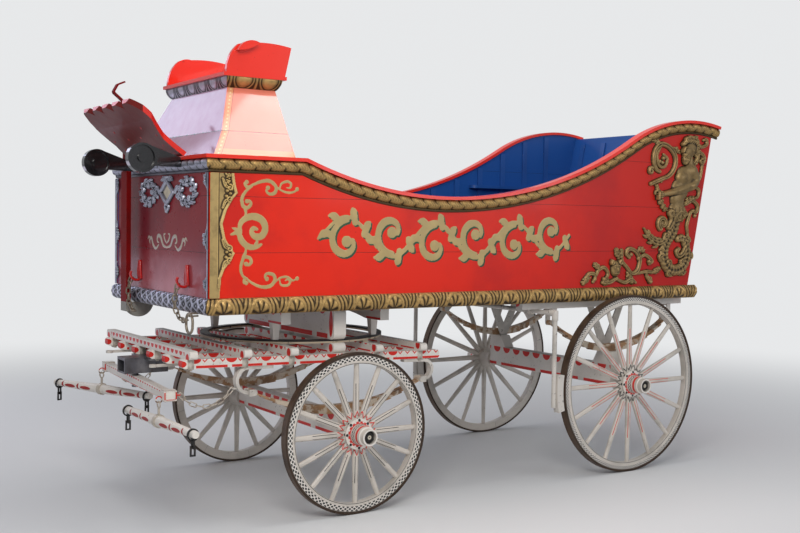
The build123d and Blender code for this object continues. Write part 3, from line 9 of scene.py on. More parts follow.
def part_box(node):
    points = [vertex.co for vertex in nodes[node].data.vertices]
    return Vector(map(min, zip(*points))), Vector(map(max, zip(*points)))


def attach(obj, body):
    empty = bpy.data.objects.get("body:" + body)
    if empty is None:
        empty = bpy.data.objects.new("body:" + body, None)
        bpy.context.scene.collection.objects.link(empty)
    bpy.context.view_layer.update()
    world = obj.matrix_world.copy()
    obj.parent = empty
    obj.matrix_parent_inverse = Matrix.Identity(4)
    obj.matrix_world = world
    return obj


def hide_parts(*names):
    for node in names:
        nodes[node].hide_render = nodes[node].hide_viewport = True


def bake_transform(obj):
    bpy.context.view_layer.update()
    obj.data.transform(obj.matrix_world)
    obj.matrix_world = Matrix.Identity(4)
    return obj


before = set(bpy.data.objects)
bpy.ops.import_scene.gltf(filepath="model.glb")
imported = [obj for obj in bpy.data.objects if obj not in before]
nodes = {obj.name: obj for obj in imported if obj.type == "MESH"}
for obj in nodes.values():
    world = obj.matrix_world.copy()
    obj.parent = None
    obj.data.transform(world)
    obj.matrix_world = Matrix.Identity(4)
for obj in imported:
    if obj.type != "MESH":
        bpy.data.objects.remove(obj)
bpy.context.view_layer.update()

# Places, in metres, read from the frame or repeated from the part's sizes
SIDES = (("left", 1), ("right", -1))
front_tyre_low, front_tyre_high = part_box("front_left_tyre")
rear_tyre_low, rear_tyre_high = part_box("rear_left_tyre")
axle_x = (front_tyre_low.x + front_tyre_high.x) / 2
rear_axle_x = (rear_tyre_low.x + rear_tyre_high.x) / 2
front_wheel_r = front_tyre_high.z / 2
rear_wheel_r = rear_tyre_high.z / 2
side_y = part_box("left_side")[1].y
front_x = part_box("front_wall")[1].x
sill_low_z, sill_high_z = (corner.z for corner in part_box("side_sill_rolls"))
sill_rear_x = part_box("side_sill_rolls")[0].x
level_top_z = 1.993
cap_thick = 0.020
roll_height = 0.056
roll_bulge = 0.024
sill_bulge = 0.028
seams = (1.475, 1.775, 2.08)
sweep_low = (axle_x - 0.660, 1.806)
front_sweep_r = 2.557
rear_sweep_r = 2.990
rear_sweep_turn = math.radians(30.6)
tail_r = 1.180
rearmost_x = axle_x - 3.038
riser_break_z = 2.131
bar_rise = 0.020
bar_mid_z = 0.865
bar_half = 0.025
bar_front, bar_reach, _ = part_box("long_bars")[1]
bar_pitch = (bar_reach - bar_half) / 2.5
evener_low, evener_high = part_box("evener")
evener_mid_z = (evener_low.z + evener_high.z) / 2
tree_mid_z = sum(corner.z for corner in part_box("left_singletree")) / 2
tree_y = 0.595
arm_y = 0.70
nut_y = side_y + 0.15
spokes = 16


# Colours

def srgb(red, green, blue):
    """A colour given as it shows on a screen, 0 to 255, as the light values that shaders use."""
    channels = []
    for value in (red, green, blue):
        share = value / 255
        channels.append(share / 12.92 if share <= 0.04045 else ((share + 0.055) / 1.055) ** 2.4)
    return tuple(channels) + (1.0,)


ORANGE_RED = srgb(228, 36, 4)
CRIMSON = srgb(136, 10, 26)
DARK_RED = srgb(92, 18, 16)
TRIM_RED = srgb(206, 34, 22)
BLUE = srgb(28, 78, 150)
KHAKI = srgb(176, 150, 96)
GOLD = srgb(158, 128, 78)
GOLD_DARK = srgb(46, 32, 16)
SILVER = srgb(160, 162, 176)
SILVER_DARK = srgb(26, 26, 32)
WHITE = srgb(224, 218, 210)
GREY_WHITE = srgb(208, 200, 190)
BLACK = srgb(18, 18, 20)


# Materials written as formulas

def feed(tree, socket, value):
    if isinstance(value, Flow):
        tree.links.new(value.socket, socket)
    else:
        socket.default_value = value


class Flow:
    """A number or colour on its way through a material's nodes, so that formulas read as sums."""

    def __init__(self, tree, socket):
        self.tree = tree
        self.socket = socket

    def math(self, operation, *others):
        node = self.tree.nodes.new("ShaderNodeMath")
        node.operation = operation
        for socket, value in zip(node.inputs, (self,) + others):
            feed(self.tree, socket, value)
        return Flow(self.tree, node.outputs[0])

    def __add__(self, other):
        return self.math("ADD", other)

    def __sub__(self, other):
        return self.math("SUBTRACT", other)

    def __mul__(self, other):
        return self.math("MULTIPLY", other)

    def __truediv__(self, other):
        return self.math("DIVIDE", other)

    def above(self, level):
        return self.math("GREATER_THAN", level)

    def below(self, level):
        return self.math("LESS_THAN", level)

    def within(self, low, high):
        return self.above(low) * self.below(high)

    def near(self, level, reach):
        return (self - level).math("ABSOLUTE").below(reach)

    def absolute(self):
        return self.math("ABSOLUTE")

    def inverse(self):
        return (self * -1.0) + 1.0

    def either(self, other):
        return (self + other).math("MINIMUM", 1.0)

    def repeat(self, period):
        """The distance to the nearest multiple of a period."""
        return self.math("PINGPONG", period / 2)

    def rise(self, low, high):
        """0 below low and 1 above high, smooth between."""
        node = self.tree.nodes.new("ShaderNodeMapRange")
        node.interpolation_type = "SMOOTHSTEP"
        feed(self.tree, node.inputs["Value"], self)
        node.inputs["From Min"].default_value = low
        node.inputs["From Max"].default_value = high
        return Flow(self.tree, node.outputs["Result"])


class Paint:
    """One material, coloured in layers. Its places and normals are the mesh's own."""

    def __init__(self, name, colour, roughness=0.45, metallic=0.0, coat=0.0, specular=0.5):
        self.material = bpy.data.materials.new(name)
        self.material.use_nodes = True
        self.tree = self.material.node_tree
        self.shader = self.tree.nodes["Principled BSDF"]
        self.shader.inputs["Metallic"].default_value = metallic
        self.shader.inputs["Coat Weight"].default_value = coat
        self.shader.inputs["Coat Roughness"].default_value = 0.08
        self.shader.inputs["Specular IOR Level"].default_value = specular
        places = self.tree.nodes.new("ShaderNodeTexCoord")
        self.place = places.outputs["Object"]
        self.x, self.y, self.z = self.split(self.place)
        self.normal_x, self.normal_y, self.normal_z = self.split(places.outputs["Normal"])
        self.colour = colour
        self.base_roughness = roughness
        self.bumps = []

    def split(self, vector):
        node = self.tree.nodes.new("ShaderNodeSeparateXYZ")
        self.tree.links.new(vector, node.inputs[0])
        return [Flow(self.tree, output) for output in node.outputs]

    def noise(self, scale, detail=4.0, stretch=(1, 1, 1)):
        mapping = self.tree.nodes.new("ShaderNodeMapping")
        mapping.inputs["Scale"].default_value = stretch
        self.tree.links.new(self.place, mapping.inputs["Vector"])
        node = self.tree.nodes.new("ShaderNodeTexNoise")
        node.inputs["Scale"].default_value = scale
        node.inputs["Detail"].default_value = detail
        node.inputs["Roughness"].default_value = 0.55
        self.tree.links.new(mapping.outputs[0], node.inputs["Vector"])
        return Flow(self.tree, node.outputs["Fac"])

    def attribute(self, name):
        node = self.tree.nodes.new("ShaderNodeAttribute")
        node.attribute_name = name
        return Flow(self.tree, node.outputs["Fac"])

    def over(self, mask, colour):
        """Lay a colour over the paint where the mask is 1."""
        node = self.tree.nodes.new("ShaderNodeMix")
        node.data_type = "RGBA"
        feed(self.tree, node.inputs["Factor"], mask)
        feed(self.tree, node.inputs["A"], self.colour)
        feed(self.tree, node.inputs["B"], colour)
        self.colour = Flow(self.tree, node.outputs["Result"])
        return self

    def mottle(self, colour, amount, scale, stretch=(1, 1, 1)):
        """Uneven patches of another colour, as on old paint."""
        return self.over(self.noise(scale, 5.0, stretch).rise(0.42, 0.74) * amount, colour)

    def chips(self, colour, amount, scale=60.0, level=0.69):
        """Small worn spots that show what lies under the paint."""
        patches = self.noise(9.0, 2.0).rise(0.45, 0.62)
        return self.over(self.noise(scale, 3.0).rise(level, level + 0.02) * patches * amount, colour)

    def bump(self, height, distance, strength):
        self.bumps.append((height, distance, strength))
        return self

    def seam(self, lines):
        """Dark hairlines with a shallow groove, where a mask is 1."""
        self.over(lines * 0.85, BLACK)
        return self.bump(lines * -1.0, 0.0015, 0.7)

    def done(self):
        feed(self.tree, self.shader.inputs["Base Color"], self.colour)
        roughness = (self.noise(14.0) - 0.5) * 0.25 + self.base_roughness
        feed(self.tree, self.shader.inputs["Roughness"], roughness)
        previous = None
        for height, distance, strength in self.bumps:
            node = self.tree.nodes.new("ShaderNodeBump")
            node.inputs["Distance"].default_value = distance
            node.inputs["Strength"].default_value = strength
            feed(self.tree, node.inputs["Height"], height)
            if previous:
                self.tree.links.new(previous.outputs[0], node.inputs["Normal"])
            previous = node
        if previous:
            self.tree.links.new(previous.outputs[0], self.shader.inputs["Normal"])
        return self.material

    def onto(self, *names):
        """Finish the material and give it to CAD nodes in their own slots."""
        material = self.done()
        for name in names:
            for slot in nodes[name].material_slots:
                slot.material = material


def board_paint(name, colour, dark, coat=0.12):
    """Enamel on boards: patchy gloss, brush marks along the board, a few chips."""
    paint = Paint(name, colour, roughness=0.36, coat=coat, specular=0.3)
    paint.mottle(dark, 0.35, 2.2)
    paint.chips(DARK_RED, 0.5)
    paint.bump(paint.noise(160.0, 3.0, (0.12, 1, 1)), 0.0004, 0.25)
    return paint.bump(paint.noise(3.0, 2.0), 0.004, 0.12)


def worn_paint(name, colour, patches, amount, scale, grain=0.0, depth=0.0006, strength=0.5, **finish):
    """Patches of a second colour and, where grain is given, a fine texture."""
    paint = Paint(name, colour, **finish).mottle(patches, amount, scale)
    if grain:
        paint.bump(paint.noise(grain), depth, strength)
    return paint


def seam_lines(paint, levels):
    """Lines between boards, which wander a little."""
    wander = paint.z + (paint.noise(3.0, 2.0) - 0.5) * 0.002
    half = 0.0011
    lines = wander.near(levels[0], half)
    for level in levels[1:]:
        lines = lines + wander.near(level, half)
    return lines


# The body's boards
side_paint = board_paint("side_enamel", ORANGE_RED, CRIMSON)
# Painted shade: the side darkens towards the rear, where the light falls off.
side_paint.over(side_paint.x.rise(axle_x + 0.3, axle_x - 3.0) * 0.45, CRIMSON)
side_paint.seam(seam_lines(side_paint, seams))
inside = side_paint.y.absolute().below(side_y - 0.010)
side_paint.over(inside, BLUE).seam(inside * side_paint.z.near(2.05, 0.001))
side_paint.onto("left_side", "right_side")

# Painted shade: the front is a darker crimson than the sides' red.
front_paint = Paint("front_enamel", CRIMSON, roughness=0.3, coat=0.12, specular=0.12)
front_paint.mottle(srgb(96, 8, 34), 0.5, 3.0)
# Painted reflection: pale pink patches low on the front.
painted_reflection = front_paint.z.rise(1.50, 1.22) * front_paint.noise(2.2).rise(0.30, 0.62)
front_paint.over(painted_reflection * 0.55, srgb(222, 150, 158))
front_paint.seam(seam_lines(front_paint, seams[:2])).onto("front_wall")

back_paint = board_paint("back_enamel", ORANGE_RED, CRIMSON)
back_paint.seam(seam_lines(back_paint, seams))
back_paint.over(back_paint.normal_x.above(0.5), BLUE).onto("back_wall")

blue_paint = Paint("inside_blue", BLUE, roughness=0.4, coat=0.2)
blue_paint.mottle(srgb(20, 52, 110), 0.5, 3.0).chips(GREY_WHITE, 0.5)
blue_paint.bump(blue_paint.noise(120.0, 3.0, (1, 1, 0.12)), 0.0004, 0.3).onto("inner_battens", "bulkhead")

floor_paint = Paint("floor_boards", srgb(46, 70, 104), roughness=0.6)
floor_paint.mottle(srgb(88, 74, 60), 0.7, 4.0, (0.3, 2, 1))
floor_paint.bump(floor_paint.noise(90.0, 4.0, (0.08, 1, 1)), 0.001, 0.4)
floor_paint.seam(floor_paint.y.repeat(0.14).below(0.0012) * floor_paint.normal_z.above(0.5))
floor_paint.over(floor_paint.normal_z.below(-0.5), srgb(60, 56, 52)).onto("floor")

rail_paint = board_paint("rail_enamel", srgb(232, 44, 24), ORANGE_RED, coat=0.6)
rail_paint.onto("cap_rail", "seat_board", "seat_arms", "seat_back")

# The driver's pedestal: its red lightened to salmon as painted reflection, its front a darker purple as
# painted shade and painted reflection, its sides edged with a beaded strip
# Painted reflection: the pedestal's red is lightened to salmon.
riser_paint = board_paint("riser_enamel", srgb(236, 132, 110), srgb(222, 96, 76), coat=0.8)
riser_front = riser_paint.normal_x.above(0.3)
riser_side = riser_paint.normal_y.absolute().above(0.5)
low_edge = (riser_paint.z - level_top_z) * -0.623 + 0.822
high_edge = (riser_paint.z - riser_break_z) * -0.413 + 0.736
from_edge = low_edge.math("MAXIMUM", high_edge) + axle_x - riser_paint.x
strip = from_edge.within(0.008, 0.040).either(riser_paint.z.below(2.030)) * riser_side
beads = (riser_paint.z.repeat(0.022) / 0.011).below(0.5) * from_edge.near(0.024, 0.005) * riser_side
# Painted shade and painted reflection: the front face is a darker purple.
riser_paint.over(riser_front, srgb(132, 40, 92))
riser_paint.over(strip * 0.75, srgb(226, 160, 112))
riser_paint.over(beads * 0.8, srgb(240, 206, 150)).bump(beads, 0.003, 0.8)
riser_paint.over(from_edge.near(0.042, 0.0016) * riser_side * 0.8, srgb(176, 50, 40))
riser_paint.seam(riser_paint.z.near(riser_break_z, 0.0016))
# Black patches along the break, on the front face.
break_patches = riser_paint.z.near(riser_break_z, 0.006) * riser_front * riser_paint.noise(50.0).rise(0.5, 0.6)
riser_paint.over(break_patches, BLACK).onto("seat_riser")

foot_paint = board_paint("footboard_enamel", srgb(222, 40, 22), CRIMSON)
# Painted shade: the footboard's underside and front edge are a darker red.
front_edge = foot_paint.normal_x.above(0.55) * foot_paint.normal_z.below(0.2)
foot_paint.over(foot_paint.normal_z.below(-0.2).either(front_edge), srgb(112, 20, 14)).onto("footboard")

lever_paint = worn_paint("lever_enamel", srgb(128, 6, 6), DARK_RED, 0.5, 9.0, roughness=0.6, specular=0.12)
lever_paint.over(lever_paint.z.below(sill_low_z + 0.002), srgb(150, 148, 142))
lever_paint.onto("brake_lever", "brake_pedal")

gloss_black = worn_paint("gloss_black", BLACK, srgb(60, 60, 66), 0.3, 9.0, roughness=0.22, coat=0.8)
gloss_black.onto("footboard_brackets")


def carved_metal(name, bright, dark, metallic, roughness):
    """Bronze paint over carving, with painted shade dark in the hollows and a painted highlight bright on the
    ridges.
    """
    paint = Paint(name, bright, roughness=roughness, metallic=metallic)
    hollow = paint.attribute("hollow")
    # Painted shade in the hollows and a painted highlight on the ridges.
    painted_highlight = tuple(min(1.0, value * 1.9) for value in bright[:3]) + (1.0,)
    paint.over(hollow.rise(0.50, 0.78) * 0.94, dark)
    paint.over(hollow.inverse().rise(0.60, 0.95) * 0.6, painted_highlight)
    paint.mottle(dark, 0.35, 24.0)
    return paint.bump(paint.noise(240.0, 3.0), 0.0006, 0.5).done()


gold = carved_metal("aged_gold", GOLD, GOLD_DARK, 0.55, 0.42)
dark_gold = carved_metal("dark_gold", srgb(136, 112, 72), srgb(30, 22, 12), 0.5, 0.42)
silver = carved_metal("aged_silver", SILVER, SILVER_DARK, 0.7, 0.34)
khaki_gold = carved_metal("khaki_gold", KHAKI, GOLD_DARK, 0.25, 0.5)


# Running gear paint

def oval(along, up, half_along, half_up):
    """1 inside an oval, from the distances to its middle."""
    return ((along * along) / half_along ** 2 + (up * up) / half_up ** 2).below(1.0)


def white_paint(name, stretch=(1, 0.2, 1)):
    """Stained and chipped white paint with brush marks along the timber."""
    paint = Paint(name, WHITE, roughness=0.5, coat=0.1, specular=0.35)
    paint.mottle(GREY_WHITE, 0.8, 5.0)
    paint.over(paint.noise(22.0, 5.0).rise(0.6, 0.78) * 0.45, srgb(120, 104, 84))
    paint.chips(srgb(88, 74, 58), 0.8, 70.0, 0.66)
    return paint.bump(paint.noise(110.0, 3.0, stretch), 0.0005, 0.35)


def striped(paint, run, level, low_z, high_z, period, teeth=False):
    """Red scallops or teeth at a timber's top edge and a dashed red stripe at its bottom."""
    depth = high_z - low_z
    under = level * -1.0 + high_z
    aside = run.repeat(period)
    stripe_share = 0.17
    if teeth:
        stripe_share = 0.30
        wide = (run + period).repeat(period * 4)
        slants = (under / (depth * 0.40) + aside / (period * 0.36)).within(0.55, 1.0)
        marks = (slants * wide.above(period * 0.75)).either(oval(wide, under, period * 0.62, depth * 0.48))
    else:
        reach = min(period * 0.36, depth * 0.42)
        marks = oval(aside, under, reach, reach)
    stripe = level.within(low_z + depth * 0.02, low_z + depth * stripe_share)
    dashes = (run + period * 0.8).repeat(period * 4).above(period * 0.25)
    painted = (marks * under.above(0.0)).either(stripe * dashes)
    return paint.over(painted * paint.normal_z.absolute().below(0.6), TRIM_RED)


# Long bars, with white noses that end in a red oval
bars = white_paint("long_bar_paint", (0.2, 1, 1))
bar_level = bars.z - (bars.x - axle_x) * bar_rise
striped(bars, bars.x, bar_level, bar_mid_z - bar_half, bar_mid_z + bar_half, 0.052, teeth=True)
bars.over(bars.x.above(bar_front - 0.040), WHITE)
bars.over(oval(bars.x - bar_front, bar_level - bar_mid_z, 0.026, 0.017), TRIM_RED).onto("long_bars")

# Cross timbers: node, bottom and top, whether its ends are white with a red half oval
for name, low, high, white_ended in (
    ("cross_bars", 0.885, 0.945, True), ("floor_beams", 1.064, 1.150, False),
    ("upper_bolster", 0.966, 1.150, True), ("lower_bolster", 0.890, 0.946, True),
    ("front_axle", 0.417, 0.545, False), ("rear_axle", 0.558, 0.700, False),
):
    timber = white_paint(f"{name}_paint")
    out_y = timber.y.absolute()
    striped(timber, timber.y, timber.z, low, high, 0.060 if name == "cross_bars" else 0.115)
    timber.over(timber.normal_y.absolute().above(0.6), WHITE)
    if white_ended:
        end_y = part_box(name)[1].y
        upright = timber.normal_x.absolute().above(0.6)
        half_oval = oval(out_y - end_y + 0.036, timber.z - (low + high) / 2, 0.022, (high - low) * 0.42)
        timber.over(out_y.above(end_y - 0.075) * upright, WHITE)
        timber.over(half_oval * upright, TRIM_RED)
    if "axle" in name:
        hub_x, hub_z = (axle_x, front_wheel_r) if name == "front_axle" else (rear_axle_x, rear_wheel_r)
        timber.over(out_y.above(arm_y), srgb(46, 40, 36))
        timber.over(out_y.above(nut_y), srgb(20, 16, 14))
        for radius, colour in ((0.0115, srgb(196, 188, 170)), (0.004, srgb(60, 52, 46))):
            timber.over(oval(timber.x - hub_x, timber.z - hub_z, radius, radius) * out_y.above(nut_y), colour)
    timber.onto(name)

# Draft gear
evener_paint = white_paint("evener_paint")
striped(evener_paint, evener_paint.y, evener_paint.z, evener_low.z, evener_high.z, 0.045)
from_end = evener_paint.y.absolute() - evener_high.y + 0.045
evener_oval = oval(from_end, evener_paint.z - evener_mid_z, 0.024, 0.017)
evener_paint.over(evener_oval * evener_paint.normal_x.above(0.3), TRIM_RED).onto("evener")

clip_paint = white_paint("clip_paint")
from_middle = (clip_paint.z - evener_mid_z).absolute()
clip_end = clip_paint.normal_y.absolute().above(0.6)
clip_face = clip_end.either(clip_paint.normal_x.absolute().above(0.6))
clip_paint.over(from_middle.below(0.019) * clip_end, TRIM_RED)
clip_paint.over(from_middle.near(0.033, 0.006) * clip_face, srgb(120, 92, 74)).onto("evener_clips")

tree_paint = white_paint("singletree_paint")
for middle, half_along, half_up in (
    (0.115, 0.048, 0.011), (0.255, 0.048, 0.011), (0.185, 0.009, 0.022), (0.325, 0.009, 0.022),
):
    for part in (1, -1):
        along = tree_paint.y.absolute() - tree_y - part * middle
        mark = oval(along, tree_paint.z - tree_mid_z + 0.004, half_along, half_up)
        tree_paint.over(mark * tree_paint.normal_x.above(-0.2), srgb(158, 26, 20))
tree_paint.onto("left_singletree", "right_singletree")

# Irons
spring_paint = worn_paint(
    "spring_steel", srgb(172, 132, 94), srgb(84, 60, 44), 0.8, 9.0, 90.0, roughness=0.55, metallic=0.1)
spring_paint.over(spring_paint.noise(20.0, 5.0).rise(0.46, 0.56) * 0.85, srgb(210, 198, 180))
spring_paint.onto("front_springs", "rear_springs")

pale_iron = worn_paint(
    "pale_iron", srgb(208, 202, 194), srgb(120, 116, 108), 0.6, 6.0, 80.0, strength=0.4, roughness=0.5)
pale_iron.chips(srgb(70, 56, 44), 0.8, 50.0, 0.64)
pale_iron.onto("scroll_irons", "brake_shaft", "axle_guides", "hanger_irons", "eye_rods")

dark_iron = worn_paint(
    "dark_iron", srgb(34, 34, 36), srgb(84, 68, 54), 0.6, 11.0, 100.0, roughness=0.42, metallic=0.5)
dark_iron.onto("upper_ring")

tree_iron = worn_paint(
    "tree_iron", srgb(30, 28, 27), srgb(58, 50, 44), 0.7, 30.0, roughness=0.4, metallic=0.3)
tree_iron.over(tree_iron.y.absolute().near(tree_y, 0.12), srgb(188, 178, 164))
tree_iron.onto("left_tree_irons", "right_tree_irons")

ring_iron = Paint("ring_iron", srgb(26, 24, 24), roughness=0.35, metallic=0.3)
worn_edge = ring_iron.normal_z.absolute().below(0.5) * ring_iron.noise(30.0, 5.0).rise(0.30, 0.44)
ring_iron.over(worn_edge, srgb(196, 180, 156)).onto("lower_ring")

socket_iron = worn_paint(
    "socket_iron", srgb(92, 92, 98), srgb(150, 148, 150), 0.7, 8.0, 100.0, roughness=0.4, metallic=0.4)
socket_iron.mottle(srgb(54, 42, 36), 0.7, 13.0).onto("pole_socket")

tyre_paint = Paint("tyre_iron", srgb(92, 72, 56), roughness=0.5, metallic=0.45)
tyre_paint.mottle(srgb(58, 44, 34), 0.8, 16.0)
tyre_paint.over(tyre_paint.normal_y.absolute().above(0.8) * 0.6, srgb(40, 30, 26))
tyre_paint.bump(tyre_paint.noise(70.0, 5.0), 0.0008, 0.5)
tyre_paint.onto(*[f"{place}_{side}_tyre" for place in ("front", "rear") for side, sign in SIDES])


def wheel_paint(name, hub_x, wheel_r, star, lines, sign, braid):
    """White wheel paint with a braided band, lined spokes, a star at the hub and a banded barrel."""
    paint = Paint(name, GREY_WHITE, roughness=0.45, coat=0.15).mottle(srgb(150, 146, 138), 0.55, 6.0)
    across = paint.x - hub_x
    up = paint.z - wheel_r
    radius = (across * across + up * up).math("SQRT")
    turn = up.math("ARCTAN2", across)
    whole_turn = turn + 8 * math.pi
    spoke_turn = 2 * math.pi / spokes
    off_spoke = whole_turn.repeat(spoke_turn)
    felloe_r = wheel_r - 0.012
    face = (paint.normal_y * sign).above(0.6)

    # Braid round the felloe, between a brown and a black line
    offset = radius - (felloe_r - braid - 0.0055)
    crossings = round(2 * math.pi * (felloe_r - braid - 0.0055) / (braid * 2.2))
    around = turn * (crossings / (2 * math.pi))
    one_way, other_way = (
        (around + offset / (braid * way) + 200.0).math("FRACT").near(0.5, 0.155) for way in (1.55, -1.55))
    band = offset.absolute().below(braid) * face
    paint.over(band, BLACK).over(band * one_way.either(other_way), WHITE)
    paint.over(radius.near(felloe_r - 0.002, 0.0022) * face, srgb(60, 44, 34))
    paint.over(radius.near(felloe_r - 0.047, 0.0016) * face, BLACK)

    # Lines along the spokes' hub ends
    aside = radius * off_spoke.math("SINE")
    on_spokes = radius.within(0.13, felloe_r - 0.055) * radius.below(wheel_r * 0.62)
    paint.over(aside.near(0.0092, 0.0016) * on_spokes * face, lines)

    # Star, dots and a scalloped ring on the hub
    star_edge = whole_turn.repeat(math.pi / 11) / (math.pi / 22) * 0.030 + 0.094
    beyond_hub = radius.above(0.088) * face
    paint.over((radius - star_edge).near(0.0, 0.0056) * beyond_hub, star)
    paint.over((radius - star_edge).near(-0.010, 0.0014) * beyond_hub, BLACK)
    paint.over(radius.below(0.0885) * face, WHITE)
    dot_aside = radius * whole_turn.repeat(math.pi / 4).math("SINE")
    paint.over(oval(radius - 0.0785, dot_aside, 0.0085, 0.0085) * face, BLACK)
    scallops = radius.within(0.066, 0.073) * off_spoke.above(spoke_turn * 0.2)
    paint.over(radius.within(0.054, 0.066).either(scallops) * face, TRIM_RED)

    # Bands round the barrel, out from where it leaves the spokes
    barrel = paint.y * sign - (side_y + 0.099)
    on_barrel = face.inverse() * radius.below(0.066) * barrel.above(0.005)
    wave = (turn * 9.0).math("SINE") * 0.006
    chain = (barrel - wave).near(0.040, 0.0024).either((barrel + wave).near(0.040, 0.0024))
    chain_band = on_barrel * barrel.near(0.040, 0.0115)
    paint.over(chain_band, BLACK).over(chain_band * chain, WHITE)
    paint.over(on_barrel * barrel.near(0.072, 0.008), TRIM_RED)
    paint.over(radius.below(0.0375) * face, srgb(40, 34, 30))

    paint.chips(srgb(112, 96, 78), 0.7, 60.0, 0.66)
    felloe_joints = (whole_turn + spoke_turn / 2).repeat(spoke_turn * 2).below(0.0022)
    paint.seam(felloe_joints * radius.above(felloe_r - 0.049) * 0.6)
    return paint.bump(paint.noise(120.0, 3.0), 0.0004, 0.3)


for place, hub_x, wheel_r, star, lines, braid in (
    ("front", axle_x, front_wheel_r, TRIM_RED, BLACK, 0.0135),
    ("rear", rear_axle_x, rear_wheel_r, BLACK, TRIM_RED, 0.0095),
):
    for side, sign in SIDES:
        name = f"{place}_{side}_wheel"
        wheel_paint(f"{name}_paint", hub_x, wheel_r, star, lines, sign, braid).onto(name)


# Meshes

def piece(name, parts, material, replaced=None, body="wagon"):
    """A piece joined from parts, each its points, faces and hollows. It rides on the named body."""
    faces = []
    count = 0
    for points, part_faces, _ in parts:
        faces.extend([[number + count for number in face] for face in part_faces])
        count += len(points)
    mesh = bpy.data.meshes.new(name)
    mesh.from_pydata(np.concatenate([part[0] for part in parts]).tolist(), [], faces)
    mesh.update()
    hollows = mesh.attributes.new("hollow", "FLOAT", "POINT")
    hollows.data.foreach_set("value", np.concatenate([part[2] for part in parts]).astype(np.float32))
    mesh.polygons.foreach_set("use_smooth", [True] * len(mesh.polygons))
    mesh.materials.append(material)
    thing = bpy.data.objects.new(name, mesh)
    bpy.context.scene.collection.objects.link(thing)
    if body:
        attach(thing, body)
    if replaced:
        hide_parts(replaced)
    return thing


def hollowness(heights, depth):
    """0 on ridges, 0.5 on even ground and 1 in hollows."""
    blurred = heights
    for step in range(8):
        padded = np.pad(blurred, 1, mode="edge")
        blurred = (padded[:-2, 1:-1] + padded[2:, 1:-1] + padded[1:-1, :-2] + padded[1:-1, 2:]) / 4
    return np.clip(0.5 - (heights - blurred) / depth * 5.0, 0, 1)


def spiral(centre, radius, start, turns, grow=0.25, steps=40):
    """Points that wind inwards from a radius, from a start angle in degrees, by a number of turns."""
    shares = np.linspace(0, 1, steps)
    angles = np.radians(start) + 2 * np.pi * turns * shares
    radii = radius * (1 - shares * (1 - grow))
    return np.stack([centre[0] + radii * np.cos(angles), centre[1] + radii * np.sin(angles)], 1)


def curve(corners, steps=12):
    """A smooth line through corners."""
    corners = np.array(corners, dtype=float)
    padded = np.vstack([2 * corners[0] - corners[1], corners, 2 * corners[-1] - corners[-2]])
    points = []
    for a, b, c, d in zip(padded[:-3], padded[1:-2], padded[2:-1], padded[3:]):
        for share in np.linspace(0, 1, steps, endpoint=False):
            points.append(0.5 * (
                2 * b + (c - a) * share + (2 * a - 5 * b + 4 * c - d) * share ** 2
                + (3 * b - a - 3 * c + d) * share ** 3
            ))
    points.append(corners[-1])
    return np.array(points)


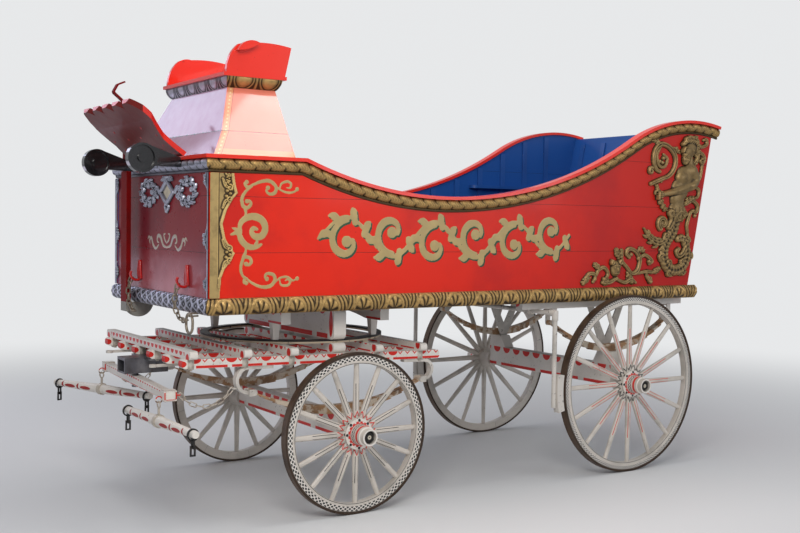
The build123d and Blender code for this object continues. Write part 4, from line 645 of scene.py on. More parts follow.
class Relief:
    """Carving kept as heights over a flat grid, built up from rounded strokes."""

    def __init__(self, low, high, cell):
        self.low = np.array(low)
        self.cell = cell
        across = np.arange(low[0], high[0], cell)
        up = np.arange(low[1], high[1], cell)
        self.u, self.v = np.meshgrid(across, up, indexing="ij")
        self.heights = np.zeros_like(self.u)

    def window(self, points, reach):
        low = np.floor((points.min(0) - reach - self.low) / self.cell).astype(int)
        high = np.ceil((points.max(0) + reach - self.low) / self.cell).astype(int)
        low = np.clip(low, 0, None)
        return slice(low[0], max(high[0], low[0])), slice(low[1], max(high[1], low[1]))

    def blend(self, area, raised):
        self.heights[area] = (self.heights[area] ** 5 + raised ** 5) ** 0.2

    def stroke(self, points, radii, depth, groove=0.0, ribs=0.0, pitch=0.03):
        """A rounded bar along points, with a groove along it or ribs across it."""
        points = np.array(points, dtype=float)
        radii = np.interp(np.linspace(0, 1, len(points)), np.linspace(0, 1, len(radii)), radii)
        area = self.window(points, radii.max())
        u, v = self.u[area], self.v[area]
        best = np.full(u.shape, 9.0)
        run = np.zeros(u.shape)
        done = 0.0
        for start, end, r0, r1 in zip(points[:-1], points[1:], radii[:-1], radii[1:]):
            step = end - start
            length = max(np.hypot(*step), 1e-9)
            share = np.clip(((u - start[0]) * step[0] + (v - start[1]) * step[1]) / length ** 2, 0, 1)
            gap = np.hypot(u - start[0] - share * step[0], v - start[1] - share * step[1])
            rho = gap / (r0 + (r1 - r0) * share)
            closer = rho < best
            best = np.where(closer, rho, best)
            run = np.where(closer, done + share * length, run)
            done += length
        raised = depth * np.sqrt(np.clip(1 - best ** 2, 0, 1))
        raised = raised * (1 - groove * np.exp(-(best / 0.30) ** 2))
        raised = raised * (1 - ribs * (0.5 + 0.5 * np.cos(2 * np.pi * (run / pitch + 0.6 * best))))
        self.blend(area, raised)

    def bend(self, corners, radii, depth, groove=0.0, steps=12, **ribs):
        """A stroke along a smooth line."""
        self.stroke(curve(corners, steps), radii, depth, groove, **ribs)

    def scroll(self, corners, radius, depth):
        self.bend(corners, (radius * 0.75, radius, radius * 0.7), depth, 0.45)

    def ball(self, u, v, radius_u, radius_v, depth):
        """A rounded boss, wider one way than the other."""
        area = self.window(np.array([(u, v)]), max(radius_u, radius_v))
        rho = np.hypot((self.u[area] - u) / radius_u, (self.v[area] - v) / radius_v)
        self.blend(area, depth * np.sqrt(np.clip(1 - rho ** 2, 0, 1)))

    def leaf(self, corners, size, depth, lobes):
        """A leaf along a smooth line, its lobes curling off both edges."""
        spine = curve(corners)
        self.stroke(spine, (0.30 * size, 0.42 * size, 0.10 * size), depth, 0.5)
        for number in range(1, lobes + 1):
            at = int((len(spine) - 1) * number / (lobes + 1))
            step = spine[at + 1] - spine[at - 1]
            step = step / np.hypot(*step)
            reach = size * (1.15 - 0.5 * number / lobes)
            for side in (1, -1):
                across = np.array((-step[1], step[0])) * side * reach
                turn = spine[at] + across * 0.55 + step * reach * 0.15
                tip = spine[at] + across * 0.8 + step * reach * 0.75
                radii = (0.24 * size, 0.26 * size, 0.12 * size)
                self.bend((spine[at], turn, tip), radii, depth * 0.9, 0.4, 6)

    def level(self, height):
        """Cut the carving down to one flat height, as paint lies."""
        self.heights = np.where(self.heights > 0, height, 0)
        return self

    def shape(self, place, flip=False):
        """The points, faces and hollows of what stands up, where place turns (u, v, height) into points."""
        sink = 0.0008
        kept = self.heights > 1e-6
        cells = kept[:-1, :-1] | kept[1:, :-1] | kept[:-1, 1:] | kept[1:, 1:]
        rows, columns = np.nonzero(cells)
        index = np.arange(self.u.size).reshape(self.u.shape)
        quads = np.stack([
            index[rows, columns], index[rows + 1, columns],
            index[rows + 1, columns + 1], index[rows, columns + 1],
        ], 1)
        used, faces = np.unique(quads, return_inverse=True)
        faces = faces.reshape(-1, 4)
        u, v = self.u.ravel()[used], self.v.ravel()[used]
        # The stair-stepped rim is smoothed along itself
        edges = np.sort(np.concatenate([faces[:, [i, (i + 1) % 4]] for i in range(4)]), 1)
        codes, counts = np.unique(edges[:, 0] * len(used) + edges[:, 1], return_counts=True)
        rim = codes[counts == 1]
        ends = np.stack([rim // len(used), rim % len(used)], 1)
        for step in range(4):
            totals = np.zeros((len(used), 3))
            for near, far in ((0, 1), (1, 0)):
                others = ends[:, far]
                np.add.at(totals, ends[:, near], np.stack([u[others], v[others], np.ones(len(ends))], 1))
            on_rim = totals[:, 2] > 0
            u = np.where(on_rim, (u + totals[:, 0]) / (1 + totals[:, 2]), u)
            v = np.where(on_rim, (v + totals[:, 1]) / (1 + totals[:, 2]), v)
        heights = self.heights.ravel()[used] - sink
        # Painted shade for the material, from how far each point lies below its surroundings.
        shade = hollowness(self.heights, max(self.heights.max(), 1e-3)).ravel()[used]
        return place(u, v, heights), (faces[:, ::-1] if flip else faces).tolist(), shade


def both_sides(*reliefs):
    """Drawings of the left side, u ahead of the front axle and v up, there and mirrored on the right."""
    def place_on(sign):
        return lambda u, v, heights: np.stack([axle_x + u, sign * (side_y + heights), v], 1)
    return [relief.shape(place_on(sign), sign > 0) for relief in reliefs for side, sign in SIDES]


def on_front(u, v, heights):
    """Where a drawing of the front lies: u to the wagon's left, v up."""
    return np.stack([front_x + heights, u, v], 1)


# Carved mouldings along the sides and across the front

roll_rows = 22
row_step = 0.0055


def runs(places):
    """Put the distance run ahead of each place."""
    places = np.array(places)
    steps = np.hypot(np.diff(places[:, 0]), np.diff(places[:, 1]))
    return np.column_stack([np.concatenate([[0], np.cumsum(steps)]), places])


def sweep_points(drop):
    """Places and headings along a line by a drop below a side's top, from the front corner to the tail."""
    radius = front_sweep_r + drop
    z = level_top_z - drop
    dip_x = sweep_low[0] + math.sqrt(radius ** 2 - (sweep_low[1] + front_sweep_r - z) ** 2)
    dip_turn = math.asin((dip_x - sweep_low[0]) / radius)
    tail_x = sweep_low[0] - (rear_sweep_r + tail_r) * math.sin(rear_sweep_turn)
    tail_turn = math.asin((tail_x - rearmost_x) / tail_r)
    x = front_x + roll_bulge
    heading = math.pi
    points = []
    # length, bend, turn at its start
    for length, bend, corner in (
        (x - dip_x, 0.0, 0.0),
        (radius * dip_turn, -1 / radius, dip_turn),
        ((rear_sweep_r + drop) * rear_sweep_turn, -1 / (rear_sweep_r + drop), 0.0),
        ((tail_r - drop) * (rear_sweep_turn + tail_turn), 1 / (tail_r - drop), 0.0),
    ):
        heading += corner
        count = max(2, round(length / row_step))
        for number in range(count):
            points.append((x, z, heading))
            heading += bend * length / count / 2
            x += math.cos(heading) * length / count
            z += math.sin(heading) * length / count
            heading += bend * length / count / 2
    return points + [(x, z, heading)]


def roll_section(height, bulge, bead=0.0):
    """The section of a roll from top to bottom: distances up and out, and the way each point faces."""
    radius = (height ** 2 / 4 + bulge ** 2) / (2 * bulge)
    half_turn = math.asin(height / 2 / radius)
    turns = np.linspace(half_turn, -half_turn, roll_rows)
    section = [radius * np.sin(turns), radius * np.cos(turns) - radius + bulge, np.sin(turns), np.cos(turns)]
    if bead:
        turns = np.linspace(math.pi / 2, -math.pi / 2, 7)
        rounded = [
            bead / 2 * np.sin(turns) - (height + bead) / 2, 0.001 + 0.0085 * np.cos(turns),
            np.sin(turns), np.cos(turns),
        ]
        section = [np.concatenate(pair) for pair in zip(section, rounded)]
    return section


# How high each moulding's carving stands, by the distance run and by share, from 1 at the top to -1

def bump(distance, reach):
    return np.exp(-(distance / reach) ** 2)


def wave(turns):
    return 0.5 + 0.5 * np.cos(2 * math.pi * turns)


def dome(rho):
    return np.sqrt(np.clip(1 - rho ** 2, 0, 1))


def leaf_height(run, share, pitch):
    """Acanthus along a roll: crescent leaves that lean over it, each with ribs and an eye."""
    lean = run / pitch + 0.42 * share + 0.10 * np.sin(math.pi * share * 2)
    phase = lean - np.floor(lean)
    blade = dome(2 * phase - 1)
    ribs = wave(phase * 5 - share * 2.2)
    eye = bump(((run / pitch + 0.35) % 1 - 0.5) * pitch, 0.010) * bump(share - 0.1, 0.34)
    notch = (bump(phase - 0.01, 0.045) + bump(phase - 0.99, 0.045)) * (0.12 + 0.88 * share ** 2)
    return 0.30 * blade + 0.70 * ribs * blade - 0.50 * notch + 0.6 * eye


def fan_height(run, share, pitch):
    """Arches with fans of petals under them, and crossing leaf bands between."""
    cell = (run / pitch) % 1 - 0.5
    across = cell * pitch / 0.060
    up = (share + 1) / 2
    spread = np.hypot(across, (up - 0.06) * 1.2)
    arch = bump(spread - 1.0, 0.11)
    fans = wave(np.arctan2(across, up - 0.06) * 7 / (2 * math.pi))
    petals = fans * (spread < 0.86) * np.clip(spread * 1.6, 0, 1)
    bands = wave(run / 0.024 + up * 1.1 * np.sign(cell)) * (spread > 1.12)
    return 0.8 * arch + 0.75 * petals + 0.55 * bands - 0.25


def lattice_height(run, share, pitch):
    """Diamonds with a dot in each."""
    first = (run / pitch + share * 0.9) % 1 - 0.5
    second = (run / pitch - share * 0.9) % 1 - 0.5
    bars_height = bump(first, 0.16) + bump(second, 0.16)
    dots = bump(np.abs(first) - 0.5, 0.2) * bump(np.abs(second) - 0.5, 0.2)
    return np.minimum(bars_height, 1.0) * 0.8 + dots * 0.5 - 0.25


def egg_height(run, share, pitch):
    """Eggs in their shells with a dart between each two."""
    cell = (run / pitch) % 1 - 0.5
    rho = np.hypot(cell * pitch / 0.050, (share - 0.55) / 1.45)
    dart = bump((np.abs(cell) - 0.5) * pitch, 0.007)
    return 1.1 * dome(rho) + 0.7 * bump(rho - 1.20, 0.09) + 0.8 * dart - 0.35


def carved_rows(path, place, section, pattern, pitch, depth):
    """A carved moulding along path, whose rows give the distance run, the place and the heading."""
    up, out, normal_up, normal_out = section
    number = np.arange(len(up))
    carve = number < roll_rows
    share = np.where(carve, 1 - 2 * number / (roll_rows - 1), -1.0)
    fade = np.where(carve, np.sqrt(np.clip(1 - share ** 6, 0, 1)), 0.0)
    carved = np.clip(pattern(path[:, :1], share[None, :], pitch), -0.6, 1.2) * fade * depth
    points = place(path, up + carved * normal_up, np.maximum(out + carved * normal_out, 0.0005))
    # Painted shade for the material: darkest where the carving is lowest, and a fixed dark value on the plain
    # bead.
    low, high = np.percentile(carved[:, carve], (6, 88))
    shade = np.where(carve, np.clip((high - carved) / (high - low), 0, 1) * 0.9, 0.72)
    rows, columns = shade.shape
    index = np.arange(rows * columns).reshape(rows, columns)
    quads = np.stack([index[:-1, :-1], index[1:, :-1], index[1:, 1:], index[:-1, 1:]], -1)
    faces = quads.reshape(-1, 4).tolist() + [index[0].tolist()[::-1], index[-1].tolist()]
    return points.reshape(-1, 3), faces, shade.ravel()


def along_side(sign):
    """Rows along the left or right side, their front end cut to the corner's mitre."""
    def place(path, up, out):
        x = path[:, 1:2] + np.sin(path[:, 3:4]) * up
        z = path[:, 2:3] - np.cos(path[:, 3:4]) * up
        return np.stack([np.minimum(x, front_x + out - 0.0002), sign * (side_y + out) + 0 * x, z], -1)
    return place


def across_front(path, up, out):
    """Rows across the front, both ends cut to the corners' mitres."""
    reach = side_y + out - 0.0002
    y = np.clip(path[:, 1:2] + 0 * up, -reach, reach)
    return np.stack([front_x + out + 0 * y, y, path[:, 2:3] + up], -1)


sill_height = sill_high_z - sill_low_z
sill_mid_z = (sill_high_z + sill_low_z) / 2
sill_x = [*np.arange(front_x + sill_bulge, sill_rear_x, -row_step), sill_rear_x]
front_y = np.arange(-side_y - sill_bulge, side_y + sill_bulge + 0.004, 0.004)
top_section = roll_section(roll_height, roll_bulge, 0.018)
sill_section = roll_section(sill_height, sill_bulge)
top_path = runs(sweep_points(cap_thick + roll_height / 2))
sill_path = runs([(x, sill_mid_z, math.pi) for x in sill_x])
front_top = runs([(y, level_top_z - cap_thick - roll_height / 2, 0) for y in front_y])
front_sill = runs([(y, sill_mid_z, 0) for y in front_y])
for name, path, section, pattern, pitch, depth, replaced in (
    ("top_roll_carving", top_path, top_section, leaf_height, 0.088, 0.0062, "side_top_rolls"),
    ("sill_roll_carving", sill_path, sill_section, fan_height, 0.215, 0.0085, "side_sill_rolls"),
):
    rolls = [carved_rows(path, along_side(sign), section, pattern, pitch, depth) for side, sign in SIDES]
    piece(name, rolls, gold, replaced=replaced)
front_rolls = [
    carved_rows(front_top, across_front, top_section, leaf_height, 0.088, 0.0050),
    carved_rows(front_sill, across_front, sill_section, lattice_height, 0.085, 0.0070),
]
piece("front_roll_carving", front_rolls, silver, replaced="front_rolls")


# Corner strips: a broad plate whose edge swells to scrolls and balls. Its edge by height and width

side_strip_edge = (
    (1.236, 0.058), (1.343, 0.066), (1.390, 0.085), (1.428, 0.116), (1.474, 0.144), (1.505, 0.118),
    (1.552, 0.089), (1.629, 0.072), (1.700, 0.094), (1.761, 0.130), (1.793, 0.158), (1.835, 0.146),
    (1.899, 0.136),
)
front_strip_edge = (
    (1.236, 0.014), (1.275, 0.016), (1.310, 0.046), (1.345, 0.016), (1.480, 0.014), (1.520, 0.030),
    (1.546, 0.066), (1.575, 0.028), (1.640, 0.014), (1.800, 0.014), (1.840, 0.050), (1.899, 0.040),
)


def strip_relief(edge, corner, direction, spine, cluster_out, clusters):
    """A plate up a corner, hollowed beside its raised edge, with scrolls and balls in its swellings."""
    far = corner + direction * 0.170
    relief = Relief((min(corner, far), 1.2365), (max(corner, far), 1.8985), 0.0026)
    width = np.interp(relief.v, *zip(*edge))
    distance = (relief.u - corner) * direction
    inside = distance < width
    relief.heights = np.where(inside, 0.012, 0.0)
    hollow = inside & (distance > spine) & (distance < width - 0.014)
    relief.heights = np.where(hollow, 0.005, relief.heights)
    rim = np.abs(width - 0.008 - distance) < 0.008
    relief.heights = np.where(rim & (width > spine + 0.012), 0.015, relief.heights)
    for middle, size in clusters:
        def at(out, up):
            return corner + direction * (cluster_out + out * size), middle + up * size
        for part in (1, -1):
            relief.bend(
                (at(-0.6, part * 1.9), at(-0.2, part), at(0.7, part * 0.5)),
                (0.16 * size, 0.24 * size, 0.16 * size), 0.020, 0.5,
            )
            relief.stroke(
                spiral(at(0.35, part * 0.75), 0.42 * size, 90 * part, 1.1), (0.15 * size, 0.09 * size), 0.021)
        for out, up in ((0.0, 0.32), (0.45, -0.02), (-0.1, -0.38)):
            relief.ball(*at(out, up), 0.21 * size, 0.21 * size, 0.024)
    return relief


side_strip = strip_relief(
    side_strip_edge, front_x - axle_x, -1, 0.050, 0.098, ((1.79, 0.040), (1.468, 0.040), (1.868, 0.022)))
piece("corner_strip_carving", both_sides(side_strip), khaki_gold, replaced="corner_strips")
front_strips = [
    strip_relief(
        front_strip_edge, sign * (side_y + 0.012), -sign, 0.030, 0.034,
        ((1.862, 0.020), (1.546, 0.026), (1.310, 0.018)),
    ).shape(on_front)
    for side, sign in SIDES
]
piece("corner_strip_front", front_strips, silver)


# Egg and dart under the seat board

egg_low_z, egg_high_z = 2.385, 2.445
egg_half = 0.407
egg_ends_x = {1: axle_x + 0.631, -1: axle_x + 0.334}
egg_flare = 0.044
egg_share = np.linspace(1, 0, roll_rows)
egg_section = [
    egg_share * (egg_high_z - egg_low_z), egg_flare * np.sin(egg_share * math.pi / 2) ** 0.8,
    -0.35 + 0 * egg_share, 0.9 + 0 * egg_share,
]


def egg_side(sign):
    def place(path, up, out):
        x = np.clip(path[:, 1:2] + 0 * up, egg_ends_x[-1] - out / 2, egg_ends_x[1] + out / 2)
        return np.stack([x, sign * (egg_half + out) + 0 * x, egg_low_z + up + 0 * x], -1)
    return place


def egg_end(sign):
    def place(path, up, out):
        y = np.clip(path[:, 1:2] + 0 * up, -egg_half - out, egg_half + out)
        return np.stack([egg_ends_x[sign] + sign * out / 2 + 0 * y, y, egg_low_z + up + 0 * y], -1)
    return place


egg_x = np.arange(egg_ends_x[-1] - 0.026, egg_ends_x[1] + 0.030, 0.004)
egg_y = np.arange(-egg_half - 0.048, egg_half + 0.050, 0.004)
for name, places, place, material, replaced in (
    ("seat_egg_sides", egg_x, egg_side, gold, "seat_moulding"),
    ("seat_egg_ends", egg_y, egg_end, silver, None),
):
    path = runs([(run, 0, 0) for run in places])
    eggs = [carved_rows(path, place(sign), egg_section, egg_height, 0.158, 0.0055) for side, sign in SIDES]
    piece(name, eggs, material, replaced=replaced)


# Painted scrolls, a little proud of the boards so that they show at every angle

paint_height = 0.0015


def paint_strokes(relief, strokes):
    for corners, half in strokes:
        relief.bend(corners, (half * 0.45, half, half * 0.9, half * 0.4), 1.0, steps=8)


# Scrolls at the front of the side: corners, then half the width at the widest
scroll_strokes = (
    (((0.350, 1.822), (0.368, 1.808), (0.404, 1.802), (0.448, 1.814), (0.480, 1.838)), 0.006),
    (((0.457, 1.823), (0.444, 1.851), (0.409, 1.863), (0.386, 1.849), (0.395, 1.828), (0.414, 1.830)), 0.007),
    (((0.653, 1.821), (0.611, 1.841), (0.563, 1.859), (0.515, 1.861), (0.480, 1.834), (0.484, 1.802),
      (0.514, 1.791), (0.537, 1.809), (0.524, 1.826)), 0.010),
    (((0.623, 1.832), (0.653, 1.829), (0.663, 1.846), (0.648, 1.855)), 0.008),
    (((0.623, 1.830), (0.658, 1.802), (0.679, 1.766), (0.674, 1.727), (0.648, 1.716), (0.627, 1.736),
      (0.636, 1.754), (0.649, 1.748)), 0.010),
    (((0.672, 1.726), (0.656, 1.693), (0.663, 1.660)), 0.008),
    (((0.685, 1.583), (0.690, 1.622), (0.665, 1.655), (0.613, 1.670), (0.561, 1.651), (0.541, 1.608),
      (0.560, 1.568), (0.599, 1.562), (0.622, 1.585), (0.611, 1.607), (0.591, 1.602)), 0.020),
    (((0.690, 1.614), (0.694, 1.575), (0.672, 1.532), (0.633, 1.507), (0.594, 1.507), (0.564, 1.520)), 0.017),
    (((0.685, 1.583), (0.715, 1.581), (0.742, 1.572)), 0.010),
    (((0.690, 1.590), (0.712, 1.600), (0.734, 1.608)), 0.009),
    (((0.607, 1.513), (0.590, 1.529), (0.592, 1.544)), 0.009),
    (((0.659, 1.512), (0.655, 1.482), (0.671, 1.443), (0.684, 1.392), (0.670, 1.349), (0.649, 1.339)), 0.009),
    (((0.675, 1.430), (0.663, 1.450), (0.633, 1.449), (0.622, 1.426), (0.639, 1.409), (0.652, 1.418)), 0.009),
    (((0.645, 1.340), (0.662, 1.331), (0.662, 1.315), (0.647, 1.313)), 0.008),
    (((0.662, 1.348), (0.614, 1.312), (0.557, 1.291), (0.505, 1.297), (0.479, 1.330), (0.492, 1.357),
      (0.528, 1.362), (0.540, 1.345), (0.525, 1.332)), 0.010),
    (((0.452, 1.329), (0.443, 1.301), (0.407, 1.295), (0.387, 1.314), (0.402, 1.330), (0.417, 1.321)), 0.007),
    (((0.478, 1.314), (0.448, 1.338), (0.403, 1.342), (0.371, 1.322), (0.344, 1.334)), 0.006),
)
scroll_dots = ((0.350, 1.823, 0.011), (0.650, 1.750, 0.012), (0.652, 1.853, 0.011), (0.344, 1.333, 0.011),
               (0.650, 1.314, 0.011), (0.653, 1.416, 0.012), (0.527, 1.826, 0.012), (0.528, 1.334, 0.012))

front_scroll = Relief((0.32, 1.27), (0.76, 1.89), 0.0028)
paint_strokes(front_scroll, scroll_strokes)
for u, v, half in scroll_dots:
    front_scroll.ball(u, v, half, half, 1.0)


def vine(shift):
    """A running vine in the middle of the side: a waving stem that curls to alternate sides, with leaves."""
    relief = Relief((-1.78, 1.26), (0.30, 1.88), 0.0036)
    curls = 6
    start_u, end_u = 0.18, -1.64
    swing = 0.19
    half = 0.0155
    radius = (start_u - end_u) / curls * 0.40

    def at(u, up):
        """A place at a height above the vine's middle line, which follows the sweep of the side."""
        return np.array((u, 1.545 + 0.035 * ((u + 0.75) / 0.9) ** 2 + up)) + shift

    def leaning(angle):
        return np.array((math.cos(angle), math.sin(angle)))

    stem = [
        at(start_u + (end_u - start_u) * share, swing * 0.55 * math.sin(math.pi * curls * share))
        for share in np.linspace(0, 1, curls * 14 + 1)
    ]
    relief.stroke(stem, (half * 0.6, half, half * 0.6), 1.0)
    for number in range(curls):
        part = 1 if number % 2 == 0 else -1
        centre = at(start_u + (end_u - start_u) * (number + 0.5) / curls, -part * swing * 0.18)
        curl = spiral(centre, radius, 90 * part, -0.78 * part, 0.30, 34)
        relief.stroke(curl, (half, half * 1.5, half * 0.8), 1.0)
        relief.ball(centre[0] + radius * 0.02, centre[1], half * 2.1, half * 2.1, 1.0)
        for turn in (20, 65, 115, 160):
            angle = math.radians(turn) * part
            base = centre + leaning(angle) * radius
            out = leaning(angle - 0.7 * part) * half
            corners = (base, base + out * 2.6 + (0, part * half), base + out * 5.2)
            relief.bend(corners, (half * 1.3, half * 1.5, half * 0.25), 1.0, steps=6)
    return relief


khaki_enamel = worn_paint(
    "khaki_enamel", srgb(172, 150, 98), srgb(196, 170, 112), 0.7, 9.0, roughness=0.4, coat=0.3)
khaki_enamel.chips(CRIMSON, 0.6)
green_enamel = worn_paint(
    "green_enamel", srgb(24, 74, 48), srgb(12, 44, 30), 0.5, 9.0, roughness=0.4, coat=0.3)
silver_enamel = worn_paint(
    "silver_enamel", srgb(176, 160, 138), SILVER, 0.7, 14.0, roughness=0.32, metallic=0.35, coat=0.3)
khaki_height = paint_height + 0.0005
khaki_scrolls = both_sides(front_scroll.level(khaki_height), vine(0.0).level(khaki_height))
piece("side_painted_scrolls", khaki_scrolls, khaki_enamel.done())
piece("side_painted_shade", both_sides(vine(-0.009).level(paint_height)), green_enamel.done())

front_vine = Relief((-0.20, 1.44), (0.46, 1.60), 0.0026)
for corners, half in (
    (((0.0, 1.488), (0.055, 1.500), (0.095, 1.545), (0.135, 1.553), (0.150, 1.525), (0.125, 1.512)), 0.011),
    (((0.125, 1.500), (0.170, 1.478), (0.215, 1.500), (0.240, 1.538), (0.270, 1.524), (0.262, 1.504)), 0.010),
    (((0.0, 1.512), (0.030, 1.532), (0.045, 1.558), (0.022, 1.566)), 0.008),
    (((0.250, 1.530), (0.280, 1.545), (0.300, 1.530)), 0.007),
):
    for part in (1, -1):
        paint_strokes(front_vine, [([(0.124 + part * u, v) for u, v in corners], half)])
piece("front_painted_scroll", [front_vine.level(paint_height).shape(on_front)], silver_enamel.done())


# Cartouche on the front: two wreaths of scrolls and a mirror in a diamond frame

cartouche_y, cartouche_z = 0.140, 1.800
cartouche = Relief((-0.32, 1.67), (0.60, 1.905), 0.0026)
for part in (1, -1):
    centre = np.array((cartouche_y + part * 0.295, cartouche_z))
    turns = np.radians(np.arange(0, 361, 12))
    ring = centre + np.stack([np.cos(turns), np.sin(turns)], 1) * (0.098, 0.058)
    cartouche.stroke(ring, (0.020, 0.020), 0.017, 0.55, ribs=0.35, pitch=0.034)
    for number in range(10):
        turn = math.radians(number * 36 + 10)
        out = np.array((math.cos(turn), math.sin(turn)))
        curled = np.array((math.cos(turn + 0.32 * part), math.sin(turn + 0.32 * part)))
        base = centre + out * (0.100, 0.060)
        tip = centre + curled * (0.135, 0.083)
        cartouche.bend((base, (base + tip) / 2 + out * 0.006, tip), (0.011, 0.012, 0.006), 0.020, 0.4, 6)
        if number % 2 == 0:
            curl = spiral(centre + out * (0.076, 0.040), 0.018, number * 36, 0.9 * part)
            cartouche.stroke(curl, (0.007, 0.005), 0.021)
        cartouche.ball(*(centre + out * (0.112, 0.068)), 0.006, 0.006, 0.0215)
    hook, top_leaf, drop = (
        [(cartouche_y + part * u, v) for u, v in corners] for corners in (
            ((0.120, 1.800), (0.150, 1.828), (0.188, 1.800), (0.150, 1.776)),
            ((0.012, 1.862), (0.048, 1.878), (0.085, 1.868)),
            ((0.0, 1.735), (0.024, 1.722), (0.016, 1.704), (0.0, 1.690)),
        ))
    cartouche.bend(hook, (0.012, 0.014), 0.016, 0.4)
    cartouche.leaf(top_leaf, 0.018, 0.018, 3)
    cartouche.bend(drop, (0.007, 0.008), 0.016)
cartouche.ball(cartouche_y, 1.884, 0.016, 0.012, 0.020)
cartouche.ball(cartouche_y, 1.690, 0.008, 0.010, 0.016)
diamond = np.array(((-0.096, 0.0), (0.0, 0.066), (0.096, 0.0), (0.0, -0.066), (-0.096, 0.0)))
cartouche.stroke(diamond + (cartouche_y, cartouche_z), (0.013, 0.013), 0.021, 0.25)
piece("cartouche_carving", [cartouche.shape(on_front)], silver, replaced="front_cartouche")

mirror = Relief((cartouche_y - 0.1, 1.73), (cartouche_y + 0.1, 1.87), 0.0026)
from_centre = np.abs(mirror.u - cartouche_y) / 0.094 + np.abs(mirror.v - cartouche_z) / 0.064
mirror.heights = np.where(from_centre < 1, 0.006, 0)
mirror_glass = worn_paint(
    "mirror_glass", srgb(214, 200, 176), srgb(120, 104, 84), 0.4, 16.0, roughness=0.08, metallic=1.0)
piece("cartouche_mirror", [mirror.shape(on_front)], mirror_glass.done())


# The figure that ends the side: a bearded half figure on a scrolled tail, with scrolls before and behind it

figure = Relief((-2.945, 1.285), (-2.285, 2.325), 0.0042)
tail = curve((
    (-2.615, 1.700), (-2.592, 1.617), (-2.520, 1.520), (-2.508, 1.430), (-2.545, 1.362), (-2.622, 1.340),
    (-2.696, 1.366), (-2.732, 1.428), (-2.728, 1.500), (-2.690, 1.560), (-2.640, 1.560),
))
figure.stroke(tail, (0.050, 0.042, 0.040, 0.038, 0.026), 0.036, 0.35, ribs=0.22, pitch=0.030)
for share, side in ((0.15, 1), (0.28, 1), (0.42, 1), (0.56, 1), (0.70, 1), (0.84, 1), (0.35, -1), (0.60, -1)):
    number = int(share * (len(tail) - 1))
    step = tail[number + 1] - tail[number]
    step = step / np.hypot(*step)
    out = np.array((-step[1], step[0])) * side
    base = tail[number] + out * 0.020
    fin = (base, base + out * 0.022 + step * 0.012, base + out * 0.020 + step * 0.045)
    figure.bend(fin, (0.016, 0.018, 0.006), 0.032, 0.45, 6)
figure.stroke(spiral((-2.487, 1.668), 0.046, -60, 1.25, 0.2), (0.019, 0.012), 0.030, 0.45)
figure.stroke(spiral((-2.362, 2.022), 0.024, 120, -1.1), (0.012, 0.009), 0.026)
for u, v, radius in (
    (-2.560, 1.742, 0.036), (-2.640, 1.722, 0.040), (-2.690, 1.745, 0.034), (-2.600, 1.700, 0.030),
):
    curl = spiral((u, v), radius * 0.7, 6000 * radius, 1.0)
    figure.stroke(curl, (radius * 0.42, radius * 0.26), 0.036, 0.4)
for lean in (-0.050, -0.018, 0.014, 0.044):
    skirt = ((-2.630 + lean, 1.775), (-2.625 + lean * 1.3, 1.735), (-2.615 + lean * 1.1, 1.680))
    figure.leaf(skirt, 0.026, 0.038, 2)
for corners, radius, depth in (
    (((-2.640, 1.560), (-2.712, 1.536), (-2.700, 1.470), (-2.655, 1.440), (-2.628, 1.470), (-2.650, 1.490)),
     0.020, 0.030),
    (((-2.364, 1.934), (-2.453, 1.966), (-2.530, 1.990), (-2.580, 2.034), (-2.600, 2.094), (-2.584, 2.150),
      (-2.526, 2.196), (-2.456, 2.208), (-2.400, 2.170), (-2.384, 2.101), (-2.408, 2.040), (-2.445, 2.020)),
     0.019, 0.028),
    (((-2.456, 2.200), (-2.416, 2.130), (-2.440, 2.062), (-2.492, 2.056), (-2.518, 2.110), (-2.480, 2.140)),
     0.012, 0.024),
    (((-2.790, 2.222), (-2.850, 2.206), (-2.908, 2.226), (-2.905, 2.262), (-2.878, 2.256)), 0.014, 0.026),
    (((-2.785, 2.080), (-2.815, 2.140), (-2.850, 2.165), (-2.888, 2.132), (-2.870, 2.094), (-2.846, 2.110)),
     0.015, 0.028),
    (((-2.872, 2.084), (-2.850, 1.991), (-2.805, 1.935), (-2.842, 1.902), (-2.826, 1.853), (-2.755, 1.835)),
     0.013, 0.024),
    (((-2.709, 1.800), (-2.780, 1.826), (-2.832, 1.790), (-2.815, 1.746), (-2.782, 1.758)), 0.015, 0.028),
    (((-2.792, 1.760), (-2.758, 1.735), (-2.730, 1.658), (-2.738, 1.590)), 0.014, 0.024),
):
    figure.scroll(corners, radius, depth)
for corners, size, depth, lobes in (
    (((-2.520, 1.555), (-2.450, 1.528), (-2.370, 1.560), (-2.306, 1.632)), 0.050, 0.028, 4),
    (((-2.600, 1.340), (-2.650, 1.320), (-2.690, 1.306)), 0.022, 0.024, 2),
    (((-2.456, 2.212), (-2.410, 2.226), (-2.362, 2.228)), 0.022, 0.024, 2),
    (((-2.580, 2.190), (-2.612, 2.180), (-2.640, 2.150)), 0.022, 0.024, 2),
    (((-2.500, 1.975), (-2.440, 1.955), (-2.370, 1.930)), 0.022, 0.024, 3),
    (((-2.418, 1.925), (-2.436, 1.858), (-2.478, 1.790), (-2.520, 1.750)), 0.030, 0.034, 5),
    (((-2.700, 1.810), (-2.752, 1.838), (-2.806, 1.848)), 0.026, 0.026, 3),
):
    figure.leaf(corners, size, depth, lobes)

